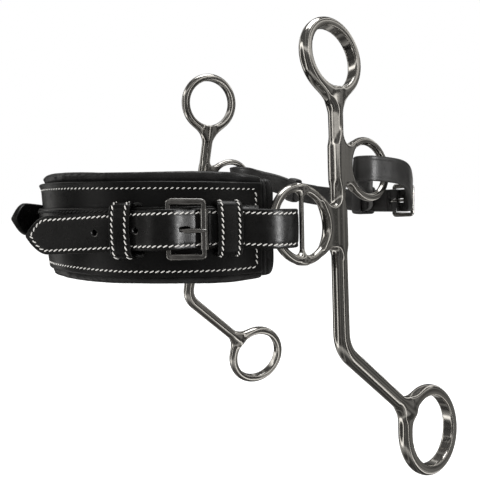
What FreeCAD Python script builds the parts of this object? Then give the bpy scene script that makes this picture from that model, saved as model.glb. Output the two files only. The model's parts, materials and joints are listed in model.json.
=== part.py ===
"""Bitless hackamore: padded leather noseband, two cast cheeks and a buckled curb strap.

Millimetres.  The origin is midway between the centres of the two noseband rings, with the
noseband level: +X is the horse's left, -Y the front of the nose and +Z up.  The left-hand
pieces are modelled and the right-hand ones mirrored from them across X = 0.
"""
import math
import os

import FreeCAD, Part
from FreeCAD import Placement, Rotation, Vector

X_AXIS, Y_AXIS, Z_AXIS = Vector(1, 0, 0), Vector(0, 1, 0), Vector(0, 0, 1)

# alias: (value, what it is).  Cheek sizes are measured in the cheek's own plane from the
# centre of its noseband ring: "back" is rearward and "rise" is up.
SIZES = {
    "ring_spread": (161.2, "between the centres of the two noseband rings"),
    "cheek_lean": (8.0, "degrees the top of each cheek leans inward"),
    "cheek_toe": (4.9, "degrees the rear of each cheek turns inward"),
    "cheek_pitch": (-6.0, "degrees each cheek tips rearward at rest"),
    "bar_back": (24.9, "main bar behind the noseband ring"),
    "bar_radius": (3.8, "main bar"),
    "bar_inset": (1.2, "from each end of the bar to the land of its ring"),
    "bend_drop": (59.6, "bend of the bar below the noseband ring"),
    "bend_radius": (15.0, "bend, on the bar's centre line"),
    "crown_back": (22.6, "crown ring centre"),
    "crown_rise": (87.1, "crown ring centre"),
    "crown_bore": (15.7, "crown ring, radius of the flat land"),
    "crown_land": (6.0, "crown ring, width of the flat land"),
    "crown_wall": (4.6, "crown ring, from land to rim"),
    "rein_back": (92.0, "rein ring centre"),
    "rein_drop": (107.2, "rein ring centre"),
    "rein_bore": (18.3, "rein ring, radius of the flat land"),
    "rein_land": (6.0, "rein ring, width of the flat land"),
    "rein_wall": (5.3, "rein ring, from land to rim"),
    "nose_ring_radius": (17.2, "noseband ring, on its centre line"),
    "loop_back": (47.5, "curb loop centre"),
    "loop_rise": (32.6, "curb loop centre"),
    "loop_radius": (15.0, "curb loop, on its centre line"),
    "rod_radius": (2.1, "rod of the noseband ring and the curb loop"),
    "centre_bar_radius": (1.1, "thin bar across the noseband ring"),
    "web_thick": (4.5, "webs that join the rings to the bar"),
    "web_fillet": (7.0, "hollow corners of the webs"),
    "nose_half": (74.4, "half width of the noseband at its ends"),
    "nose_reach": (98.0, "front of the noseband panel ahead of the origin"),
    "nose_start": (18.0, "where the noseband's side arcs begin, ahead of the origin"),
    "nose_front_radius": (68.0, "front arc of the noseband panel"),
    "panel_end": (18.6, "ends of the panel and the padding, ahead of the origin"),
    "panel_thick": (2.0, "outer leather panel"),
    "panel_low": (22.3, "panel's lower edge below the origin"),
    "panel_height": (42.9, "outer leather panel"),
    "pad_thick": (12.4, "padding with its lining"),
    "pad_low": (24.9, "padding's lower edge below the origin"),
    "pad_height": (49.3, "padding with its lining"),
    "lining_thick": (1.5, "soft leather lining round the foam"),
    "binding_length": (8.4, "leather binding at each end of the padding"),
    "binding_gap": (0.2, "between the binding and the end of the padding"),
    "sewn_gap": (0.05, "between leather layers that are sewn together"),
    "nose_strap_thick": (2.3, "strap sewn along the panel"),
    "nose_strap_width": (19.0, "strap sewn along the panel"),
    "nose_strap_low": (10.0, "its lower edge below the origin"),
    "billet_width": (17.5, "billet strap"),
    "billet_thick": (3.0, "billet strap"),
    "billet_low": (9.95, "billet's lower edge below the origin"),
    "fold_x": (81.7, "middle of the billet's fold round the ring"),
    "fold_y": (-12.2, "centre of the billet's fold"),
    "fold_radius": (5.7, "fold, on the billet's centre line"),
    "billet_tail": (43.0, "free end beyond the front keeper"),
    "billet_taper": (12.0, "pointed part of the tip"),
    "hole_radius": (2.0, "punched holes in the billet"),
    "keeper_low": (12.8, "keeper's lower edge below the origin"),
    "keeper_height": (24.2, "keeper outside"),
    "keeper_wall": (1.8, "keeper leather"),
    "buckle_height": (25.4, "buckle frame outside, across the strap"),
    "buckle_side": (1.8, "side wires of the buckle frame"),
    "heel_angle": (30.0, "degrees round the side arc to the heel bar"),
    "heel_offset": (5.05, "heel bar outside the panel"),
    "heel_radius": (1.2, "heel bar"),
    "roller_angle": (20.2, "degrees round the side arc to the roller"),
    "roller_offset": (8.0, "roller bar outside the panel"),
    "roller_bar_radius": (1.25, "bar inside the roller"),
    "roller_radius": (2.1, "roller outside"),
    "roller_length": (17.4, "roller"),
    "running_gap": (0.08, "radial clearance of the roller, the tongues and the chapes"),
    "tongue_radius": (1.0, "buckle tongue"),
    "tongue_eye": (3.2, "width of the tongue's eye"),
    "eye_side_gap": (0.4, "each side of a tongue's eye"),
    "chape_thick": (1.3, "folded leather that holds the buckle"),
    "chape_width": (16.0, "folded leather that holds the buckle"),
    "curb_width": (13.0, "curb strap and its billet"),
    "curb_thick": (2.2, "curb strap and its billet"),
    "curb_keeper_wall": (1.5, "curb keepers"),
    "curb_keeper_length": (7.0, "curb keepers, along the strap"),
    "curb_keeper_room": (0.4, "between a curb keeper and the straps' edges"),
    "curb_heel_radius": (1.1, "curb buckle, heel bar and frame wire"),
    "curb_tongue_radius": (0.8, "curb buckle tongue"),
    "curb_tongue_eye": (2.6, "width of the curb tongue's eye"),
    "curb_buckle_width": (16.4, "curb buckle, between the middles of its side wires"),
}

doc = FreeCAD.newDocument("Hackamore")
sheet = doc.addObject("Spreadsheet::Sheet", "Sizes")
for row, (alias, (value, meaning)) in enumerate(SIZES.items(), start=1):
    sheet.set(f"A{row}", alias)
    sheet.set(f"B{row}", str(value))
    sheet.set(f"C{row}", meaning)
    sheet.setAlias(f"B{row}", alias)
doc.recompute()

PARTS = []


def size(alias):
    """The number in the sheet's cell of that name."""
    return float(sheet.get(alias))


def bind(thing, **expressions):
    """Tie properties to the sheet; a double underscore stands for a dot in a property."""
    for prop, expression in expressions.items():
        thing.setExpression(prop.replace("__", "."), expression)
    return thing


def primitive(kind, name, **expressions):
    """A Part primitive with its sizes bound to the sheet."""
    return bind(doc.addObject("Part::" + kind, name), **expressions)


def feature(name, shape):
    """A Part::Feature that holds a shape worked out from the sheet's sizes."""
    thing = doc.addObject("Part::Feature", name)
    thing.Shape = shape
    thing.Placement = Placement()
    return thing


def keep(thing, label):
    """Make an object one of the kept sub-parts."""
    thing.Label = label
    PARTS.append(thing)
    return thing


def mirrored(thing, label):
    """The right-hand twin of a left-hand piece."""
    twin = doc.addObject("Part::Mirroring", label + "_twin")
    twin.Source = thing
    twin.Normal = X_AXIS
    return keep(twin, label)


def both_sides(thing, name):
    """Keep a left-hand piece and its right-hand twin."""
    keep(thing, "left_" + name)
    mirrored(thing, "right_" + name)
    return thing


def fused(name, *things):
    union = doc.addObject("Part::MultiFuse", name)
    union.Shapes = list(things)
    union.Refine = True
    return union


def cut(name, base, tool):
    result = doc.addObject("Part::Cut", name)
    result.Base = base
    result.Tool = tool
    return result


def new_body(name):
    return doc.addObject("PartDesign::Body", name)


def sketch_on(body, role, name, geometry, lift=None):
    """A sketch on one of the body's origin planes, optionally lifted off it."""
    sketch = body.newObject("Sketcher::SketchObject", name)
    plane = next(item for item in body.Origin.OriginFeatures if item.Role == role)
    sketch.AttachmentSupport = (plane, "")
    sketch.MapMode = "FlatFace"
    if lift:
        sketch.setExpression("AttachmentOffset.Base.z", lift)
    for item in geometry:
        sketch.addGeometry(item, False)
    return sketch


def segment(start, end):
    return Part.LineSegment(Vector(*start), Vector(*end))


def arc(centre, radius, start_degrees, end_degrees):
    circle = Part.Circle(Vector(centre[0], centre[1], 0), Z_AXIS, radius)
    return Part.ArcOfCircle(circle, math.radians(start_degrees), math.radians(end_degrees))


# --------------------------------------------------------------------------- cheeks

def cheek_placement():
    """Where the left cheek's own frame (X outward, Y back, Z up) sits at rest."""
    turn = (Rotation(X_AXIS, size("cheek_pitch")) * Rotation(Z_AXIS, size("cheek_toe"))
            * Rotation(Y_AXIS, -size("cheek_lean")))
    return Placement(Vector(size("ring_spread") / 2, 0, 0), turn)


def cheek_ring(name, radius, section, back, rise):
    ring = primitive("Torus", name, Radius1=radius, Radius2=section, Placement__Base__y=back,
                     Placement__Base__z=rise)
    ring.Placement.Rotation = Rotation(Y_AXIS, 90)
    return ring


def landed_ring(name, rise):
    """A ring whose round section is cut by a bore to leave a flat land inside."""
    wall, land = f"Sizes.{name}_wall", f"Sizes.{name}_land"
    section = f"(({wall})^2 + ({land} / 2)^2) / (2 * {wall})"
    radius = f"Sizes.{name}_bore + {wall} - {section}"
    return cheek_ring(f"{name}_ring", radius, section, f"Sizes.{name}_back", rise)


def ring_bore(name, rise):
    """The cutter of a landed ring: its hole, right through the cheek."""
    bore = primitive("Cylinder", f"{name}_bore", Radius=f"Sizes.{name}_bore",
                     Height="6 * Sizes.bar_radius", Placement__Base__x="-3 * Sizes.bar_radius",
                     Placement__Base__y=f"Sizes.{name}_back", Placement__Base__z=rise)
    bore.Placement.Rotation = Rotation(Y_AXIS, 90)
    return bore


def main_bar():
    """The bar from the crown ring down to its bend, and the leg on to the rein ring."""
    body = new_body("main_bar")
    back, radius = size("bar_back"), size("bend_radius")
    corner = Vector(back, -size("bend_drop"), 0)
    end = Vector(size("rein_back"), -size("rein_drop"), 0)
    leg = (end - corner).normalize()
    turn = math.acos(-leg.y)
    trim = radius * math.tan(turn / 2)
    into, out = corner + Vector(0, trim, 0), corner + leg * trim
    end = end - leg * (size("rein_bore") + size("bar_inset"))
    top = (back, size("crown_rise") - size("crown_bore") - size("bar_inset"), 0)
    bend = arc((back + radius, into.y), radius, 180, 180 + math.degrees(turn))
    path = sketch_on(body, "YZ_Plane", "bar_path",
                     [segment(top, tuple(into)), bend, segment(tuple(out), tuple(end))])
    circle = Part.Circle(Vector(0, back, 0), Z_AXIS, size("bar_radius"))
    profile = sketch_on(body, "XY_Plane", "bar_section", [circle],
                        "Sizes.crown_rise - Sizes.crown_bore - Sizes.bar_inset")
    doc.recompute()
    pipe = body.newObject("PartDesign::AdditivePipe", "bar_pipe")
    pipe.Profile = profile
    pipe.Spine = (path, ["Edge1", "Edge2", "Edge3"])
    return body


def ring_web(name, centre, outer, toward_bar, edge):
    """Flat web between a ring and the bar, with hollow corners tangent to both."""
    body = new_body(name)
    fillet = size("web_fillet")
    across = edge - fillet
    rise = math.sqrt((outer + fillet) ** 2 - across ** 2)
    slope = math.degrees(math.atan2(rise, across))
    touch = [centre[0] + toward_bar * outer * across / (outer + fillet),
             outer * rise / (outer + fillet)]
    bar_edge = centre[0] + toward_bar * edge
    bar_axis = centre[0] + toward_bar * (edge + size("bar_radius"))
    hollow_x = centre[0] + toward_bar * across
    top, bottom = centre[1] + rise, centre[1] - rise
    if toward_bar > 0:
        upper = arc((hollow_x, top), fillet, 180 + slope, 360)
        lower = arc((hollow_x, bottom), fillet, 0, 180 - slope)
    else:
        upper = arc((hollow_x, top), fillet, 180, 360 - slope)
        lower = arc((hollow_x, bottom), fillet, slope, 180)
    outline = [
        upper,
        segment((bar_edge, top, 0), (bar_axis, top, 0)),
        segment((bar_axis, top, 0), (bar_axis, bottom, 0)),
        segment((bar_axis, bottom, 0), (bar_edge, bottom, 0)),
        lower,
        segment((touch[0], centre[1] - touch[1], 0), (touch[0], centre[1] + touch[1], 0)),
    ]
    sketch = sketch_on(body, "YZ_Plane", name + "_outline", outline)
    doc.recompute()
    pad = body.newObject("PartDesign::Pad", name + "_pad")
    pad.Profile = sketch
    pad.Midplane = True
    bind(pad, Length="Sizes.web_thick")
    hole = Part.Circle(Vector(centre[0], centre[1], 0), Z_AXIS, outer - 2 * size("rod_radius"))
    opening = sketch_on(body, "YZ_Plane", name + "_hole", [hole])
    doc.recompute()
    pocket = body.newObject("PartDesign::Pocket", name + "_pocket")
    pocket.Profile = opening
    pocket.Midplane = True
    bind(pocket, Length="2 * Sizes.web_thick")
    return body


def build_cheek():
    rod = "Sizes.rod_radius"
    nose_ring = cheek_ring("nose_ring", "Sizes.nose_ring_radius", rod, "0", "0")
    curb_loop = cheek_ring("curb_loop", "Sizes.loop_radius", rod, "Sizes.loop_back",
                           "Sizes.loop_rise")
    centre_bar = primitive("Cylinder", "centre_bar", Radius="Sizes.centre_bar_radius",
                           Height="2 * Sizes.nose_ring_radius",
                           Placement__Base__z="-Sizes.nose_ring_radius")
    bar_gap = size("bar_back") - size("bar_radius")
    nose_web = ring_web("nose_web", (0, 0), size("nose_ring_radius") + size("rod_radius"), 1,
                        bar_gap)
    loop_web = ring_web("loop_web", (size("loop_back"), size("loop_rise")),
                        size("loop_radius") + size("rod_radius"), -1,
                        size("loop_back") - size("bar_back") - size("bar_radius"))
    metal = fused("cheek_metal", main_bar(), landed_ring("crown", "Sizes.crown_rise"),
                  landed_ring("rein", "-Sizes.rein_drop"), nose_ring, curb_loop, centre_bar,
                  nose_web, loop_web)
    bores = fused("cheek_bores", ring_bore("crown", "Sizes.crown_rise"),
                  ring_bore("rein", "-Sizes.rein_drop"))
    cheek = cut("cheek_casting", metal, bores)
    cheek.Placement = cheek_placement()
    both_sides(cheek, "cheek")


# ------------------------------------------------------------------------- noseband

class Arch:
    """The noseband's plan: two side arcs and a tighter front arc, tangent to them.

    offset is measured outward from the panel's outer face, and every offset shares
    the same three centres.
    """

    def __init__(self):
        half, front = size("nose_half"), size("nose_front_radius")
        drop = size("nose_reach") - size("nose_start") - front
        self.start = size("nose_start")
        self.side = (half ** 2 + drop ** 2 - front ** 2) / (2 * (half - front))
        self.front = front
        self.side_x = half - self.side
        self.front_y = front - size("nose_reach")
        self.join = math.degrees(math.atan2(drop, -self.side_x))

    def point(self, degrees, offset, height=0.0):
        """A point on the left side arc, degrees forward of its start."""
        reach, turn = self.side + offset, math.radians(degrees)
        return Vector(self.side_x + reach * math.cos(turn),
                      -self.start - reach * math.sin(turn), height)

    def forward(self, degrees):
        """Direction along the side arc, towards the front."""
        turn = math.radians(degrees)
        return Vector(-math.sin(turn), -math.cos(turn), 0)

    def outward(self, degrees):
        turn = math.radians(degrees)
        return Vector(math.cos(turn), -math.sin(turn), 0)

    def band(self, inner, outer, end):
        """Closed outline between two offsets, its ends cut square at Y = -end."""
        outline = []
        corners = []
        for offset in (outer, inner):
            reach = self.side + offset
            stop = math.degrees(math.asin((end - self.start) / reach))
            outline.append(arc((self.side_x, -self.start), reach, -self.join, -stop))
            outline.append(arc((0, self.front_y), self.front + offset, -180 + self.join,
                               -self.join))
            outline.append(arc((-self.side_x, -self.start), reach, -180 + stop,
                               -180 + self.join))
            corners.append(self.side_x + reach * math.cos(math.radians(stop)))
        for side in (1, -1):
            outline.append(segment((side * corners[0], -end, 0), (side * corners[1], -end, 0)))
        return outline


arch = Arch()
NOSE_STRAP_SETBACK = 3.0


def band_body(name, inner, outer, end, low, height):
    """A band of the noseband: the arch between two offsets, padded upward from low."""
    body = new_body(name)
    sketch = sketch_on(body, "XY_Plane", name + "_outline", arch.band(inner, outer, end),
                       f"-({low})")
    doc.recompute()
    pad = body.newObject("PartDesign::Pad", name + "_pad")
    pad.Profile = sketch
    bind(pad, Length=height)
    return body


def build_padding():
    """Foam in a closed leather lining, and the leather binding over each end."""
    skin, end = size("lining_thick"), size("panel_end")
    face, back = -size("panel_thick") - size("sewn_gap"), -size("panel_thick") - size("pad_thick")
    outside = band_body("lining_outside", back, face, end, "Sizes.pad_low", "Sizes.pad_height")
    hollow = band_body("lining_hollow", back + skin, face - skin, end + skin,
                       "Sizes.pad_low - Sizes.lining_thick",
                       "Sizes.pad_height - 2 * Sizes.lining_thick")
    keep(cut("lining_shell", outside, hollow), "noseband_lining")
    room = size("running_gap")
    foam = band_body("foam", back + skin + room, face - skin - room, end + skin + room,
                     "Sizes.pad_low - Sizes.lining_thick - Sizes.running_gap",
                     "Sizes.pad_height - 2 * Sizes.lining_thick - 2 * Sizes.running_gap")
    keep(foam, "noseband_foam")
    binding = primitive("Box", "end_binding", Width="Sizes.binding_length",
                        Length="Sizes.pad_thick + Sizes.panel_thick - Sizes.binding_gap",
                        Height="Sizes.pad_height", Placement__Base__z="-Sizes.pad_low",
                        Placement__Base__y="-Sizes.panel_end + Sizes.binding_gap")
    bind(binding,
         Placement__Base__x="Sizes.nose_half - Sizes.pad_thick - Sizes.panel_thick")
    both_sides(binding, "end_binding")


def build_noseband():
    """The outer leather panel and the strap sewn along it."""
    panel = band_body("panel", -size("panel_thick"), 0, size("panel_end"), "Sizes.panel_low",
                      "Sizes.panel_height")
    keep(panel, "noseband_panel")
    inner = size("sewn_gap")
    strap = band_body("nose_strap_band", inner, inner + size("nose_strap_thick"),
                      size("panel_end") + NOSE_STRAP_SETBACK, "Sizes.nose_strap_low",
                      "Sizes.nose_strap_width")
    keep(strap, "nose_strap")


def sector(inner, outer, first, last, low, height):
    """A block that follows the side arc between two offsets and two angles."""
    edges = []
    for offset, near, far in ((inner, first, last), (outer, last, first)):
        middle = arch.point((near + far) / 2, offset, low)
        edges.append(Part.Arc(arch.point(near, offset, low), middle,
                              arch.point(far, offset, low)).toShape())
    edges.insert(1, Part.makeLine(arch.point(last, inner, low), arch.point(last, outer, low)))
    edges.append(Part.makeLine(arch.point(first, outer, low), arch.point(first, inner, low)))
    return Part.Face(Part.Wire(edges)).extrude(Vector(0, 0, height))


# Billet's centre line after it leaves the ring: degrees round the side arc, offset.
BILLET_COURSE = ((4.2, 10.4), (7.0, 7.4), (10.0, 5.3), (13.5, 4.35), (20.2, 4.15), (23.0, 5.0),
                 (27.0, 8.0), (30.0, 9.4), (33.0, 8.9), (36.0, 7.1), (39.5, 4.9), (43.3, 4.3))
# First and last angle of each keeper, and its height outside the panel.
KEEPER_SPANS = {"rear": (9.3, 16.7, 9.2), "front": (40.1, 46.5, 8.3)}
# Billet's tucked end behind the panel's end, its straight run off the ring, and how far its
# free end lies outside the panel.
BILLET_TUCK, BILLET_LEAD, TAIL_OFFSET = 2.6, 4.0, 4.5
# Punched holes: the first from the tip, the second round the side arc behind the keeper.
HOLE_FROM_TIP, HOLE_ANGLE = 35.0, 38.7
PUNCH_REACH = 40.0
TIP_FLAT = 4.0


def beside(edge, offset, samples=24):
    """A copy of a plan edge, moved sideways by a constant offset."""
    first, last = edge.FirstParameter, edge.LastParameter
    places = [first + (last - first) * step / samples for step in range(samples + 1)]
    moved = []
    for place in places:
        along = edge.tangentAt(place)
        moved.append(edge.valueAt(place) + Vector(along.y, -along.x, 0) * offset)
    if isinstance(edge.Curve, Part.Line):
        return Part.makeLine(moved[0], moved[-1])
    if isinstance(edge.Curve, Part.Circle):
        return Part.Arc(moved[0], moved[samples // 2], moved[-1]).toShape()
    course = Part.BSplineCurve()
    course.interpolate(Points=moved, InitialTangent=edge.tangentAt(first),
                       FinalTangent=edge.tangentAt(last))
    return course.toShape()


def plan_strap(edges, thick, low, height):
    """A strap standing on edge: a plan centre line thickened and raised from low."""
    right = [beside(edge, thick / 2) for edge in edges]
    left = [beside(edge, -thick / 2) for edge in edges]
    ends = [Part.makeLine(left[0].valueAt(left[0].FirstParameter),
                          right[0].valueAt(right[0].FirstParameter)),
            Part.makeLine(left[-1].valueAt(left[-1].LastParameter),
                          right[-1].valueAt(right[-1].LastParameter))]
    outline = Part.Wire(Part.__sortEdges__(right + left + ends))
    strap = Part.Face(outline).extrude(Z_AXIS * height)
    strap.translate(Z_AXIS * low)
    return strap


def billet_edges():
    """Plan of the billet: inner pass, fold round the ring, outer pass, straight free end."""
    x, y, radius = size("fold_x"), size("fold_y"), size("fold_radius")
    leave = Vector(x + radius, y - BILLET_LEAD, 0)
    inner_pass = Part.makeLine(Vector(x - radius, -size("panel_end") - BILLET_TUCK, 0),
                               Vector(x - radius, y, 0))
    fold = Part.Arc(Vector(x - radius, y, 0), Vector(x, y + radius, 0),
                    Vector(x + radius, y, 0)).toShape()
    outer_pass = Part.makeLine(Vector(x + radius, y, 0), leave)
    last = KEEPER_SPANS["front"][1]
    onto_tail = arch.point(last, TAIL_OFFSET)
    points = [leave] + [arch.point(turn, offset) for turn, offset in BILLET_COURSE]
    points.append(onto_tail)
    course = Part.BSplineCurve()
    course.interpolate(Points=points, InitialTangent=Vector(0, -1, 0),
                       FinalTangent=arch.forward(last))
    tip = onto_tail + arch.forward(last) * size("billet_tail")
    return [inner_pass, fold, outer_pass, course.toShape(), Part.makeLine(onto_tail, tip)], tip


def tip_cutters(tip, direction, out, width, thick):
    """Two wedges that leave a blunt point on the end of a strap."""
    cutters = []
    for side in (1, -1):
        shoulder = tip - direction * size("billet_taper") + Z_AXIS * side * width / 2
        nose = tip + Z_AXIS * side * TIP_FLAT / 2
        beyond = nose + Z_AXIS * side * width
        corner = shoulder + Z_AXIS * side * width
        outline = [point + direction * reach - out * 2 * thick for point, reach in
                   ((shoulder, 0), (nose, 0), (nose, 1), (beyond, 1), (corner, 0))]
        wedge = Part.Face(Part.makePolygon(outline + outline[:1]))
        cutters.append(wedge.extrude(out * 4 * thick))
    return cutters


def over_bar(heel, bar, clearance, turn):
    """Where a straight pin from the heel bar passes closest to the far bar."""
    reach = bar - heel
    lift = math.degrees(math.asin(clearance / reach.Length))
    along = Rotation(Z_AXIS, turn * lift).multVec(reach).normalize()
    return heel + along * math.sqrt(reach.Length ** 2 - clearance ** 2)


def buckle_bars():
    """Plan points of the noseband buckle: heel bar, roller bar, tongue over the roller."""
    heel = arch.point(size("heel_angle"), size("heel_offset"))
    bar = arch.point(size("roller_angle"), size("roller_offset"))
    clearance = size("roller_radius") + size("tongue_radius") + size("running_gap")
    return heel, bar, over_bar(heel, bar, clearance, -1)


# Where the tongue's slot starts and how long it is, as shares of the tongue's length.
SLOT_START, SLOT_SPAN = 0.17, 0.6


def tongue_slot(heel, rest, middle, width):
    """Cutter for the slot that lets a tongue through its strap."""
    along = rest - heel
    slot = Part.makeBox(along.Length * SLOT_SPAN, 3 * width, width)
    slot.translate(Vector(along.Length * SLOT_START, -1.5 * width, -width / 2))
    turn = Rotation(X_AXIS, along)
    return slot.transformed(Placement(heel + Z_AXIS * middle, turn).toMatrix())


def build_billet():
    edges, tip = billet_edges()
    width, thick = size("billet_width"), size("billet_thick")
    strap = plan_strap(edges, thick, -size("billet_low"), width)
    last = KEEPER_SPANS["front"][1]
    forward, out = arch.forward(last), arch.outward(last)
    middle = Z_AXIS * (width / 2 - size("billet_low"))
    cutters = tip_cutters(tip + middle, forward, out, width, thick)
    on_course = arch.point(HOLE_ANGLE, 0)
    for centre, axis in ((on_course, arch.outward(HOLE_ANGLE)),
                         (tip - forward * HOLE_FROM_TIP, out)):
        start = centre + middle - axis * PUNCH_REACH / 2
        cutters.append(Part.makeCylinder(size("hole_radius"), PUNCH_REACH, start, axis))
    heel, bar, rest = buckle_bars()
    cutters.append(tongue_slot(heel, rest, middle.z, 2 * size("hole_radius")))
    both_sides(feature("billet", strap.cut(cutters)), "billet")


def build_keepers():
    """Leather arches over the billet, both feet sewn to the panel."""
    low, height, wall = size("keeper_low"), size("keeper_height"), size("keeper_wall")
    for name, (first, last, reach) in KEEPER_SPANS.items():
        arch_block = sector(size("sewn_gap"), reach, first, last, -low, height)
        opening = sector(-1, reach - wall, first - 1, last + 1, wall - low, height - 2 * wall)
        both_sides(feature(name + "_keeper_arch", arch_block.cut(opening)), name + "_keeper")


def upright(radius, centre, half_length, middle):
    """A rod parallel to Z."""
    return Part.makeCylinder(radius, 2 * half_length, centre + Z_AXIS * (middle - half_length))


def wire_frame(heel, bar, middle, reach, heel_radius, bar_radius, side_radius):
    """A rectangular buckle frame: two upright bars joined by a wire above and below."""
    frame = upright(heel_radius, heel, reach, middle)
    frame = frame.fuse(upright(bar_radius, bar, reach, middle))
    along = bar - heel
    for side in (1, -1):
        lift = Z_AXIS * (middle + side * reach)
        pieces = [Part.makeCylinder(side_radius, along.Length, heel + lift, along),
                  Part.makeSphere(heel_radius, heel + lift),
                  Part.makeSphere(bar_radius, bar + lift)]
        frame = frame.fuse(pieces)
    return frame


def tongue_pin(heel, rest, middle, eye, radius, eye_width, overrun):
    """A tongue: an eye round the heel bar and a straight pin over the far bar."""
    along = (rest - heel).normalize()
    length = (rest - heel).Length + overrun
    lift = Z_AXIS * middle
    tongue = upright(eye + radius, heel, eye_width / 2, middle)
    tongue = tongue.fuse([
        Part.makeCylinder(radius, length - eye, heel + along * eye + lift, along),
        Part.makeSphere(radius, heel + along * length + lift)])
    return tongue.cut(upright(eye, heel, eye_width, middle))


def eye_room(heel, middle, width, reach):
    """Cutter that opens a chape round its tongue's eye."""
    return Part.makeBox(2 * reach, 2 * reach, width,
                        heel + Vector(-reach, -reach, middle - width / 2))


# Outline of the chape's tail: degrees past the heel bar, height above the nose strap.
CHAPE_TAIL = ((0, 0), (2.6, 0), (5.2, 0), (5.2, 1.6), (2.2, 3.4))


def build_buckle():
    """Frame, roller, tongue and the folded chape that holds the heel bar."""
    middle = size("keeper_height") / 2 - size("keeper_low")
    billet_middle = size("billet_width") / 2 - size("billet_low")
    heel, bar, rest = buckle_bars()
    wire, gap = size("buckle_side") / 2, size("running_gap")
    frame = wire_frame(heel, bar, middle, size("buckle_height") / 2 - wire,
                       size("heel_radius"), size("roller_bar_radius"), wire)
    both_sides(feature("buckle_wires", frame), "buckle_frame")

    tube = upright(size("roller_radius"), bar, size("roller_length") / 2, middle)
    tube = tube.cut(upright(size("roller_bar_radius") + gap, bar, size("roller_length"), middle))
    both_sides(feature("roller_tube", tube), "buckle_roller")

    eye = size("heel_radius") + gap
    tongue = tongue_pin(heel, rest, billet_middle, eye, size("tongue_radius"),
                        size("tongue_eye"), size("roller_radius"))
    both_sides(feature("buckle_pin", tongue), "buckle_tongue")

    half, fold_radius = size("chape_width") / 2, eye + size("chape_thick")
    turn, floor = size("heel_angle"), 2 * size("sewn_gap") + size("nose_strap_thick")
    corners = [arch.point(turn + more, floor + rise) for more, rise in CHAPE_TAIL]
    corners.append(arch.point(turn, size("heel_offset") + fold_radius))
    tail = Part.Face(Part.makePolygon(corners + corners[:1]))
    tail = tail.extrude(Z_AXIS * 2 * half)
    tail.translate(Z_AXIS * (middle - half))
    chape = upright(fold_radius, heel, half, middle).fuse(tail)
    chape = chape.cut([upright(eye, heel, 2 * half, middle),
                       eye_room(heel, billet_middle, size("tongue_eye") + 2 * size("eye_side_gap"),
                                fold_radius + 1)])
    below = sector(-turn, floor, turn / 2, 2 * turn, middle - 2 * half, 4 * half)
    both_sides(feature("chape_fold", chape.cut(below)), "buckle_chape")


# ----------------------------------------------------------------------- curb strap

RIBBON_SAMPLES = 60


def ribbon(stations, width, thick):
    """A flat strap ruled along stations of (centre, direction of its width)."""
    course = Part.BSplineCurve()
    course.interpolate([Vector(*centre) for centre, across in stations])
    knots = [course.parameter(Vector(*centre)) for centre, across in stations]
    sections = []
    for step in range(RIBBON_SAMPLES + 1):
        place = knots[0] + (knots[-1] - knots[0]) * step / RIBBON_SAMPLES
        after = next(i for i in range(1, len(knots)) if place <= knots[i] + 1e-9)
        share = (place - knots[after - 1]) / (knots[after] - knots[after - 1])
        across = (Vector(*stations[after - 1][1]).normalize() * (1 - share)
                  + Vector(*stations[after][1]).normalize() * share)
        along = course.tangent(place)[0]
        across = (across - along * across.dot(along)).normalize()
        through = along.cross(across)
        centre = course.value(place)
        corners = [centre + across * up * width / 2 + through * side * thick / 2
                   for side, up in ((-1, -1), (1, -1), (1, 1), (-1, 1))]
        sections.append(Part.makePolygon(corners + corners[:1]))
    return Part.makeLoft(sections, True, True)


UP = (0, 0, 1)
RIM = (0.09, -0.3, 1)
# Main strap: from its sewn end, round the right curb loop, and across behind the chin.
CURB_STRAP = (
    ((-13.3, 84.0, 15.9), UP),
    ((-32.4, 81.4, 19.6), UP),
    ((-48.6, 77.2, 25.0), UP),
    ((-60.2, 73.4, 28.4), RIM),
    ((-69.0, 70.2, 30.8), RIM),
    ((-74.6, 65.4, 32.4), RIM),
    ((-75.8, 60.0, 33.0), RIM),
    ((-75.0, 55.0, 32.3), RIM),
    ((-71.4, 52.4, 31.8), RIM),
    ((-67.6, 53.4, 31.9), RIM),
    ((-65.6, 57.6, 31.8), RIM),
    ((-63.6, 62.8, 31.0), RIM),
    ((-58.6, 68.9, 28.2), RIM),
    ((-48.0, 74.8, 25.0), UP),
    ((-32.0, 79.0, 19.7), UP),
    ((-13.0, 81.6, 15.9), UP),
    ((8.0, 82.2, 13.4), UP),
    ((24.0, 81.2, 11.9), UP),
    ((40.0, 80.9, 10.9), UP),
    ((57.0, 81.3, 10.6), UP),
)
# Billet: sewn to the main strap, through the left curb loop and back to the buckle.
CURB_BILLET = (
    ((20.0, 78.2, 12.6), UP),
    ((32.0, 77.8, 11.4), UP),
    ((43.0, 77.7, 11.1), UP),
    ((51.0, 73.7, 13.3), UP),
    ((57.6, 67.2, 16.8), UP),
    ((62.2, 60.2, 20.4), UP),
    ((65.2, 52.6, 24.2), UP),
    ((68.2, 45.8, 26.6), UP),
    ((72.4, 43.0, 27.2), UP),
    ((76.6, 45.0, 27.3), UP),
    ((79.3, 53.0, 26.9), UP),
    ((80.3, 61.0, 26.2), UP),
    ((80.0, 67.6, 25.2), UP),
    ((78.4, 73.4, 23.0), UP),
    ((76.0, 78.2, 18.8), UP),
    ((73.0, 82.4, 13.8), UP),
    ((69.6, 85.4, 11.2), UP),
    ((65.4, 87.4, 10.6), UP),
    ((60.0, 88.0, 10.6), UP),
    ((51.0, 86.4, 10.6), UP),
    ((43.0, 85.0, 10.7), UP),
    ((29.0, 84.6, 11.6), UP),
)
# Curb buckle: plan places of its heel bar and front bar, its level, and where the chape is
# sewn down.
CURB_HEEL, CURB_BAR = Vector(60.2, 83.8, 0), Vector(68.9, 88.9, 0)
CURB_BUCKLE_LEVEL = 10.6
CHAPE_TAIL_START = Vector(46.5, 82.55, 0)
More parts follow.
